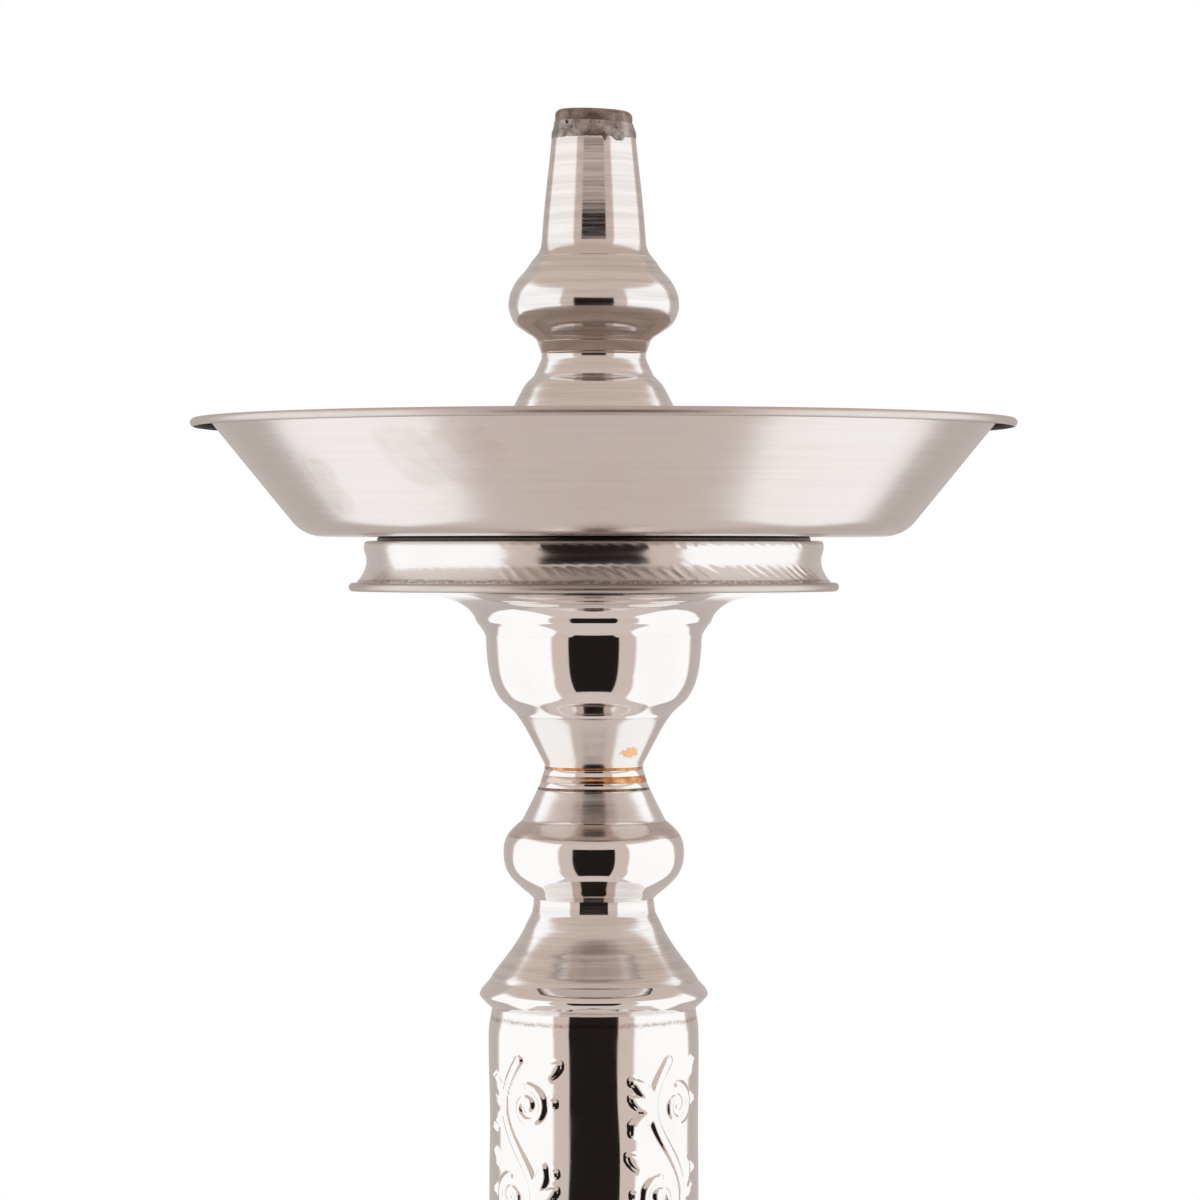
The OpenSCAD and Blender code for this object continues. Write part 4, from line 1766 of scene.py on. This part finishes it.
@dataclass
class Sleeve(SubAssembly):
    """Long sleeve, embossed from inside with four leaf scrolls and plain strips between them."""

    radius: float = 26.5
    neck_r: float = 25.85  # radius at both ends
    neck: float = 5.0  # length over which each end narrows
    relief: float = 0.72  # how far the scrolls stand out
    dent: float = 0.32  # how far the sheet strays in or out
    panels: int = 4
    panel_degrees: float = 62.0
    panel_steps: int = 66  # facets across a panel
    plain_steps: int = 6  # facets across half a plain strip
    plain_end: float = 8.5  # length left plain at each end
    row_pitch: float = 0.515  # height of each row of facets

    def section(self, length: float) -> list[Point]:
        """Draws the section, with rows close enough to carry the relief.

        Args:
            length: length of the sleeve.

        Returns:
            The closed section.
        """
        rise = self.radius - self.neck_r
        end = [(0, self.neck_r), (1.3, self.neck_r + 0.27 * rise), (2.6, self.neck_r + 0.54 * rise)]
        end += [(3.9, self.neck_r + 0.82 * rise), (self.neck, self.radius)]
        foot = flowing(end, 0.5)
        rows = round((length - 2 * self.neck) / self.row_pitch)
        step = (length - 2 * self.neck) / rows
        middle = [(self.radius, self.neck + step * k) for k in range(1, rows)]
        top = [(r, length - z) for r, z in foot[::-1]]
        inner = self.neck_r - SHELL
        return foot + middle + top + [(inner, length), (inner, 0)]

    def strokes(self, length: float) -> list[Triple]:
        """Draws the strokes of one panel's scroll.

        Args:
            length: length of the sleeve.

        Returns:
            (across, height, half width) of each sample, measured from the panel's middle line.
        """
        samples: list[Triple] = []
        low, high = self.plain_end + 3, length - self.plain_end - 3
        waves = 3
        period = (high - low) / waves

        def vine(z: float) -> float:
            """Sideways place of the main vine at a height."""
            return 5.2 * math.sin(math.tau * (z - low) / period)

        def leaf(
            x: float, z: float, heading: float, reach: float, width: float, curl: float
        ) -> None:
            """Adds a pointed leaf.

            Args:
                x: sideways place of its root.
                z: height of its root.
                heading: angle in degrees in which it sets out.
                reach: its length.
                width: half its width at the middle.
                curl: degrees that it turns along its length.
            """
            steps = 26
            for k in range(steps + 1):
                t = k / steps
                turn = math.radians(heading + curl * t)
                x += reach / steps * math.cos(turn)
                z += reach / steps * math.sin(turn)
                swelling = math.sin(math.pi * min(1.0, 0.12 + 0.88 * t)) ** 0.75
                samples.append((x, z, width * swelling + 0.15))

        rows = round((high - low) / 0.4)
        for k in range(rows + 1):
            z = low + (high - low) * k / rows
            samples.append((vine(z), z, 1.3))
        for half in range(2 * waves):
            side = 1 if half % 2 == 0 else -1
            crest = low + period * (half / 2 + 0.25)
            # tendril that winds into the hollow of the vine
            turns = 46
            for k in range(turns + 1):
                t = k / turns
                angle = math.radians(90 + 470 * t) if side > 0 else math.radians(90 - 470 * t)
                reach = 4.6 * (1 - t) ** 0.8 + 0.5
                x = -side * 3.1 + reach * math.cos(angle)
                z = crest + reach * math.sin(angle)
                samples.append((x, z, 1.1 - 0.3 * t))
            samples.append((-side * 3.1, crest, 1.35))
            # a spray of leaves on the outside of the bend
            for heading, reach in ((58, 7.2), (8, 6.4), (-42, 6.8)):
                angle = heading if side > 0 else 180 - heading
                curl = 30 if side * heading > 0 or heading == 8 else -30
                leaf(side * 5.6, crest + heading * 0.03, angle, reach, 1.6, curl * side)
            samples.append((side * 10.8, crest + 6.6, 1.1))
            samples.append((side * 10.8, crest - 6.0, 1.1))
            # small bud in the other corner
            leaf(-side * 9.0, crest + 7.5, 90 + side * 25, 5.0, 1.5, side * 40)
            samples.append((-side * 10.4, crest + 1.2, 1.2))
        return samples

    def rise(self, x: float, z: float, near: list[Triple]) -> float:
        """Finds how far the relief has risen at one place of a panel.

        Args:
            x: sideways place from the panel's middle line.
            z: height over the sleeve's foot.
            near: the samples of the strokes close by.

        Returns:
            Share of the whole relief, from 0 to 1.
        """
        inside = max((half - math.hypot(x - cx, z - cz) for cx, cz, half in near), default=-1.0)
        share = min(1.0, max(0.0, (inside + 0.3) / 0.85))
        return share * share * (3 - 2 * share)

    def emboss(self, piece: Piece, foot: float, length: float) -> None:
        """Pushes the scrolls out of the sleeve's wall, and leaves the sheet a little uneven.

        Args:
            piece: the sleeve.
            foot: height of its foot, in millimetres.
            length: its length.
        """
        buckets: dict[int, list[Triple]] = {}
        for sample in self.strokes(length):
            for row in range(int(sample[1]) - 2, int(sample[1]) + 3):
                buckets.setdefault(row, []).append(sample)
        half = math.radians(self.panel_degrees / 2)
        share = math.tau / self.panels
        # the panels are alike, so each place is worked out once
        known: dict[tuple[int, int], float] = {}
        for vertex in piece.data.vertices:
            if math.hypot(vertex.co.x, vertex.co.y) < (self.neck_r - SHELL / 2) * MM:
                continue
            turn = math.atan2(vertex.co.x, -vertex.co.y) % share - share / 2
            z = vertex.co.z / MM - foot
            fade = min(1.0, max(0.0, min(z, length - z) / 6))
            dent = self.dent * noise.noise(vertex.co / MM / 22) * fade
            up = 0.0
            if abs(turn) < half:
                x = turn * self.radius
                key = (round(x * 20), round(z * 20))
                if key not in known:
                    known[key] = self.rise(x, z, buckets.get(int(z), []))
                up = known[key] * self.relief
            swell(vertex, up + dent)

    def build(self) -> None:
        """Makes the sleeve."""
        foot, top = foot_of("sleeve"), top_of("sleeve")
        plain = (self.plain_steps, (360 / self.panels - self.panel_degrees) / 2)
        sectors = (plain, (self.panel_steps, self.panel_degrees), plain) * self.panels
        piece = Lathe.turn("sleeve", self.section(top - foot), foot, sectors, crease=60)
        self.emboss(piece, foot, top - foot)
        # a mirror whose relief glitters, with a faint line of flux under the edge ring
        embossed = ResidueLine(
            "embossed_nickel",
            roughness=0.045,
            smear=0.2,
            ring_tilt=0.08,
            heights=(top - 2.3,),
            half_width=0.8,
            stain="9C8575",
        )
        self.keep(piece, embossed, Slot.POLISHED, "sleeve")


@dataclass
class Hub(SubAssembly):
    """Hollow hub where the smoke turns off into the hose port."""

    lower: tuple[Point, ...] = (
        (0, 18.7), (3.4, 18.7), (4.6, 19.3), (6.6, 21.1), (9.6, 23.3), (13.5, 25.3), (18, 26.6),
        (21.5, 27.0), (25, 27.0),
    )
    upper: tuple[Point, ...] = (
        (0, 27.0), (2.5, 26.98), (6, 26.2), (10.5, 24.3), (15, 21.7), (19.5, 18.8), (23, 16.6),
        (25.4, 15.5), (27, 15.2),
    )
    belt: tuple[Point, ...] = (
        (0.2, 27.6), (0.5, 28.05), (1.2, 28.28), (1.8, 28.3), (2.4, 28.28), (3.1, 28.05),
        (3.4, 27.6),
    )
    port_r: float = 10.7
    port_bore: float = 9.5
    reach: float = 62.0  # distance from the axis to the port's end
    rise: float = 28.0  # degrees that the port rises
    start: float = 20.45  # distance from the axis to the tube's inner end

    def build(self) -> None:
        """Makes the halves, the belt, the washer and the hose port."""
        shell = sheet(flowing(self.lower, 0.6), HEAVY_SHELL)
        self.spin("hub_lower", shell, MIRROR, Slot.POLISHED)
        belt = flowing(self.belt, 0.2)
        section = [(27.0, 0), (27.4, 0)] + belt + [(27.4, 3.6), (27.0, 3.6)]
        self.spin("hub_belt", section, MIRROR, Slot.POLISHED)
        self.spin("hub_seal", block(PIPE_R, 15.2, 15.2, 1.2, 0.3), BARE_BRAZE, Slot.BRAZE)
        self.make_upper()
        self.make_port()

    def aim(self, piece: Piece) -> None:
        """Lays a piece that was turned round Z on the hose port's axis.

        Args:
            piece: the piece.
        """
        Lathe.clear()
        piece.select_set(True)
        bpy.context.view_layer.objects.active = piece
        piece.rotation_euler = (0, math.radians(90 - self.rise), 0)
        piece.location = (0, 0, foot_of("hub_upper") * MM)
        bpy.ops.object.transform_apply(location=True, rotation=True, scale=False)

    def make_upper(self) -> None:
        """Makes the upper half, cut through where the hose port enters."""
        section = sheet(flowing(self.upper, 0.6), HEAVY_SHELL)
        piece = Lathe.turn("hub_upper", section, foot_of("hub_upper"))
        rod = [(0.001, 0), (self.port_r, 0), (self.port_r, 60), (0.001, 60)]
        cutter = Lathe.turn("port_cutter", rod)
        self.aim(cutter)
        Lathe.clear()
        piece.select_set(True)
        bpy.context.view_layer.objects.active = piece
        cut = piece.modifiers.new("port_hole", "BOOLEAN")
        cut.operation = "DIFFERENCE"
        cut.solver = "EXACT"
        cut.object = cutter
        bpy.ops.object.modifier_apply(modifier=cut.name)
        bpy.data.objects.remove(cutter)
        bpy.ops.object.shade_smooth_by_angle(angle=math.radians(CREASE))
        self.keep(piece, MIRROR, Slot.POLISHED, "hub_upper")

    def make_port(self) -> None:
        """Makes the port's tube and its rolled lip."""
        # drawn tube, so it has no lathe rings
        plain = TurnedNickel("port_nickel", smear=0.0, ring_tilt=0.0, wave_tilt=0.1)
        tube = (
            [(self.port_bore, self.start), (self.port_r, self.start)]
            + [(self.port_r, self.start + 4 * k) for k in range(1, 10)]
            + [(self.port_r, self.reach - 4.8), (self.port_r, self.reach - 0.3)]
            + [(self.port_r - 0.3, self.reach), (self.port_bore + 0.3, self.reach)]
            + [(self.port_bore, self.reach - 0.3)]
        )
        piece = Lathe.turn("hose_port", tube)
        self.aim(piece)
        self.keep(piece, plain, Slot.POLISHED, "hose_port")
        lip = [(self.port_r, self.reach - 5)]
        for k in range(1, 20):
            a = math.pi * k / 20
            lip.append((self.port_r + 2.3 * math.sin(a), self.reach - 2.5 - 2.5 * math.cos(a)))
        lip.append((self.port_r, self.reach))
        piece = Lathe.turn("hose_port_lip", lip)
        self.aim(piece)
        self.keep(piece, plain, Slot.POLISHED, "hose_port_lip")


@dataclass
class Base(SubAssembly):
    """Bell and plate over the vase's mouth, with the plug, its rubber bung and the downstem."""

    bell: tuple[Point, ...] = (
        (0, 31.0), (1.2, 31.0), (3.2, 30.2), (5.6, 28.1), (8.5, 25.2), (11.5, 22.3), (14.6, 20.0),
        (17, 18.95), (18.8, 18.7),
    )

    def build(self) -> None:
        """Makes the five pieces."""
        shell = sheet(flowing(self.bell, 0.6), HEAVY_SHELL)
        self.spin("base_bell", shell, MIRROR, Slot.POLISHED)
        # never buffed, so it stays grey and soft
        satin = TurnedNickel("plain_spun_nickel", roughness=0.24)
        self.spin("base_plate", block(17.5, 31.0, 31.0, 1.2, 0.25), satin, Slot.SATIN)
        height = top_of("vase_plug") - foot_of("vase_plug")
        plug = [(16.3, 0.3), (16.6, 0), (17.2, 0), (17.5, 0.3)]
        plug += [(17.5, height * k / 8) for k in range(1, 9)] + [(16.3, height)]
        self.spin("vase_plug", plug, satin, Slot.SATIN)
        self.make_bung()
        self.make_downstem(satin)

    def make_bung(self) -> None:
        """Makes the rubber bung, with soft edges and two shallow sealing grooves."""
        groove = [
            (20.0, 1.2), (20.0, 7.0), (19.7, 7.4), (19.7, 8.2), (20.0, 8.6), (20.0, 15.0),
            (19.7, 15.4), (19.7, 16.2), (20.0, 16.6), (20.0, 25.4),
        ]
        section = (
            [(17.5, 0), (19.2, 0)]
            + arc((19.2, 0.8), 0.8, -60, 0, 4)
            + groove
            + [(20.6, 26.0)]
            + arc((26.2, 26.8), 0.8, -90, 0, 5)
            + arc((26.2, 29.2), 0.8, 0, 90, 5)
            + [(17.5, 30.0)]
        )
        self.spin("vase_bung", section, MouldedRubber(), Slot.RUBBER, crease=50)

    def make_downstem(self, finish: TurnedNickel) -> None:
        """Makes the thin tube, with a socket that swells over the air pipe's end.

        Args:
            finish: its finish.
        """
        foot = foot_of("downstem")
        straight = 31.1 - foot
        top = top_of("downstem") - foot
        section = (
            [(8.9, 0.2), (9.1, 0), (9.6, 0), (PIPE_R, 0.2)]
            + [(PIPE_R, straight * k / 24) for k in range(1, 25)]
            + [(10.7, straight + 0.9), (10.7, top - 0.2), (10.5, top)]
            + [(PIPE_R, top), (PIPE_R, straight + 1.8), (8.9, straight + 1.8)]
        )
        self.spin("downstem", section, finish, Slot.SATIN)


# ---------------------------------------------------------------- studio


@dataclass(frozen=True)
class LightTent:
    """White tent with two soft boxes at its sides and a dark gap that the lens looks through."""

    cloth: str = "DDD0C9"
    cloth_above: str = "D8C9C0"
    cloth_below: str = "DED5D1"
    cloth_behind: str = "C9C1BE"
    gap: str = "231F1D"
    box_glow: Triple = (1.2, 1.255, 1.29)
    gap_half: float = 27.2  # degrees to either side of the lens
    gap_low: float = -53.5  # degrees over the horizon to its lower edge
    gap_high: float = 15.4  # and to its upper edge
    box_from: float = 44.0  # degrees from the front to each box's front edge
    box_to: float = 127.0  # and to its back edge
    box_foot: float = -62.3  # degrees over the horizon, seen straight to the side
    box_spread: float = 0.36  # degrees that the front edges draw back, per degree of drop
    spread_below: float = -25.0  # degrees over the horizon under which they do

    def paint(self, world: bpy.types.World) -> None:
        """Paints the tent by the direction that a ray leaves in.

        Args:
            world: the world that is painted.
        """
        world.use_nodes = True
        tree = world.node_tree
        tree.nodes.clear()
        way = add_node(tree, "TexCoord").outputs["Generated"]
        part = add_node(tree, "SeparateXYZ", {0: way}).outputs
        side = add_node(tree, "Math", {0: part[0]}, operation="ABSOLUTE").outputs[0]
        front = add_node(tree, "Math", {0: part[1], 1: -1.0}, operation="MULTIPLY").outputs[0]
        azimuth = add_node(tree, "Math", {0: side, 1: front}, operation="ARCTAN2").outputs[0]
        rise = add_node(tree, "Math", {0: part[2]}, operation="ARCSINE").outputs[0]

        def step(value: Socket, low: float, high: float) -> Socket:
            """Steps smoothly from 0 at one angle to 1 at the other.

            Args:
                value: the angle to test.
                low: angle in degrees at which the step is 0.
                high: angle in degrees at which it is 1; it may be the smaller one.

            Returns:
                The step's height.
            """
            ends = (0.0, 1.0) if low < high else (1.0, 0.0)
            return add_node(
                tree,
                "MapRange",
                {
                    "Value": value,
                    "From Min": math.radians(min(low, high)),
                    "From Max": math.radians(max(low, high)),
                    "To Min": ends[0],
                    "To Max": ends[1],
                },
                interpolation_type="SMOOTHSTEP",
            ).outputs[0]

        def both(*shares: Socket) -> Socket:
            """Multiplies some shares.

            Args:
                shares: the shares.

            Returns:
                Their product.
            """
            total = shares[0]
            for share in shares[1:]:
                total = add_node(
                    tree, "Math", {0: total, 1: share}, operation="MULTIPLY"
                ).outputs[0]
            return total

        def over(below: object, above: object, share: object) -> Socket:
            """Lays one colour over another.

            Args:
                below: the colour underneath.
                above: the colour on top.
                share: how much of it covers the other.

            Returns:
                The mixed colour.
            """
            return add_node(
                tree, "Mix", {"Factor": share, 6: below, 7: above}, data_type="RGBA"
            ).outputs[2]

        behind = step(azimuth, 126, 134)
        colour = over(hex_linear(self.cloth), hex_linear(self.cloth_behind), behind)
        colour = over(colour, hex_linear(self.cloth_below), step(rise, -54, -57))
        box = (*self.box_glow, 1.0)
        # the foot of a flat box at the side is a level line, which bends up towards the front
        slant = add_node(tree, "Math", {0: part[2], 1: side}, operation="ARCTAN2").outputs[0]
        # the boxes stand further apart at their feet
        drop = add_node(
            tree, "Math", {0: rise, 1: math.radians(self.spread_below)}, operation="MINIMUM"
        ).outputs[0]
        spread = add_node(
            tree, "Math", {0: drop, 1: self.box_spread, 2: azimuth}, operation="MULTIPLY_ADD"
        ).outputs[0]
        # and reach further round to the back there
        below = add_node(tree, "Math", {0: rise, 1: 0.0}, operation="MINIMUM").outputs[0]
        reach = add_node(
            tree, "Math", {0: below, 1: 0.38, 2: azimuth}, operation="MULTIPLY_ADD"
        ).outputs[0]
        inner = self.box_from + self.box_spread * self.spread_below
        frame_share = both(
            step(spread, inner, inner + 4.5),
            step(reach, self.box_to, self.box_to - 6),
            step(rise, 38, 30),
            step(slant, self.box_foot - 1, self.box_foot + 1),
        )
        colour = over(colour, box, frame_share)
        colour = over(colour, hex_linear(self.cloth_above), step(rise, 36, 43))
        gap_share = both(
            step(azimuth, self.gap_half + 0.7, self.gap_half - 0.7),
            step(rise, self.gap_low - 0.7, self.gap_low + 0.7),
            step(rise, self.gap_high + 0.4, self.gap_high - 0.4),
        )
        colour = over(colour, hex_linear(self.gap), gap_share)

        # the backdrop is plain white, straight behind the object and wherever the lens sees it
        rays = add_node(tree, "LightPath").outputs
        straight_back = both(step(azimuth, 174, 178), step(rise, 24, 14), step(rise, -24, -14))
        reflected = add_node(
            tree,
            "Math",
            {0: rays["Is Glossy Ray"], 1: rays["Is Transmission Ray"]},
            operation="MAXIMUM",
        ).outputs[0]
        backdrop = add_node(
            tree,
            "Math",
            {0: reflected, 1: straight_back, 2: rays["Is Camera Ray"]},
            operation="MULTIPLY_ADD",
            use_clamp=True,
        ).outputs[0]
        colour = over(colour, (1.0, 1.0, 1.0, 1.0), backdrop)
        background = add_node(tree, "Background", {"Color": colour, "Strength": 1.0})
        add_node(tree, "OutputWorld", {"Surface": background.outputs[0]})


@dataclass
class Studio:
    """Camera, floor and light."""

    distance: float = 1.15  # metres from the lens to the stem's axis
    eye: float = 0.39895  # height of the lens, in metres
    side: float = 0.00157  # metres that it stands to the right
    dip: float = 0.556  # degrees that it looks down
    lens: float = 136.05  # focal length in millimetres, on a sensor of 36
    floor_radius: float = 1.1  # metres

    def place_camera(self) -> None:
        """Puts the camera in front of the stem, level with the tray's seat."""
        data = bpy.data.cameras.new("camera")
        data.lens = self.lens
        data.sensor_width = 36.0
        camera = bpy.data.objects.new("camera", data)
        camera.location = (self.side, -self.distance, self.eye)
        camera.rotation_euler = (math.radians(90 - self.dip), 0, 0)
        bpy.context.scene.collection.objects.link(camera)
        bpy.context.scene.camera = camera

    def lay_floor(self, height: float) -> None:
        """Lays a pale round floor that fades into the backdrop and holds the shadow.

        Args:
            height: height of the floor, in metres.
        """
        Lathe.clear()
        bpy.ops.mesh.primitive_circle_add(
            vertices=96, radius=self.floor_radius, fill_type="TRIFAN", location=(0, 0, height)
        )
        floor = bpy.context.object
        floor.name = "floor"
        bpy.ops.object.transform_apply(location=True)
        material, tree = new_tree("pale_matt_floor")
        place = add_node(tree, "TexCoord").outputs["Object"]
        flat = add_node(
            tree, "VectorMath", {0: place, 1: (1, 1, 0)}, operation="MULTIPLY"
        ).outputs[0]
        away = add_node(tree, "VectorMath", {0: flat}, operation="LENGTH").outputs["Value"]
        solid = add_node(
            tree,
            "MapRange",
            {
                "Value": away,
                "From Min": 0.25,
                "From Max": self.floor_radius,
                "To Min": 1.0,
                "To Max": 0.0,
            },
            interpolation_type="SMOOTHSTEP",
        ).outputs[0]
        rays = add_node(tree, "LightPath").outputs
        reflected = add_node(
            tree,
            "Math",
            {0: rays["Is Glossy Ray"], 1: rays["Is Transmission Ray"]},
            operation="MAXIMUM",
        ).outputs[0]
        shown = add_node(
            tree, "Math", {0: solid, 1: reflected}, operation="SUBTRACT", use_clamp=True
        ).outputs[0]
        matt = add_node(tree, "BsdfDiffuse", {"Color": hex_linear("F6F5F4")}).outputs[0]
        clear = add_node(tree, "BsdfTransparent").outputs[0]
        mixed = add_node(tree, "MixShader", {0: shown, 1: clear, 2: matt}).outputs[0]
        add_node(tree, "OutputMaterial", {"Surface": mixed})
        floor.data.materials.append(material)

    def hang_lamps(self) -> None:
        """Hangs three soft lamps for the matt surfaces; polished metal only mirrors the tent."""
        for name, place, size, power in (
            ("lamp_over", (0.0, -0.2, 1.7), 1.4, 16.0),
            ("lamp_left", (-1.2, -0.9, 0.9), 0.9, 7.0),
            ("lamp_right", (1.2, -0.9, 0.9), 0.9, 7.0),
        ):
            data = bpy.data.lights.new(name, "AREA")
            data.shape = "DISK"
            data.size = size
            data.energy = power
            lamp = bpy.data.objects.new(name, data)
            lamp.location = place
            aim = Vector((0, 0, 0.3)) - Vector(place)
            lamp.rotation_euler = aim.to_track_quat("-Z", "Y").to_euler()
            lamp.visible_glossy = False
            bpy.context.scene.collection.objects.link(lamp)

    def build(self) -> None:
        """Sets the whole studio up."""
        self.place_camera()
        self.lay_floor(CAD_BOX[0][2] - 0.0005)
        self.hang_lamps()
        world = bpy.data.worlds.new("tent")
        bpy.context.scene.world = world
        LightTent().paint(world)
        bpy.context.scene.view_settings.view_transform = "Standard"


def main() -> None:
    """Builds the studio and every sub-assembly, from the bowl end down."""
    logging.basicConfig(level=logging.INFO, format="%(message)s")
    Studio().build()
    for part in (
        BowlEnd(),
        Neck(),
        AshTray(),
        TraySeat(),
        Cup(),
        Waist(),
        KnopGroup(),
        Sleeve(),
        KnopGroup(turned_over=True),
        Hub(),
        Base(),
    ):
        part.build()
        log.info("%s: %d pieces", type(part).__name__, len(part.made))


if __name__ == "__main__":
    main()
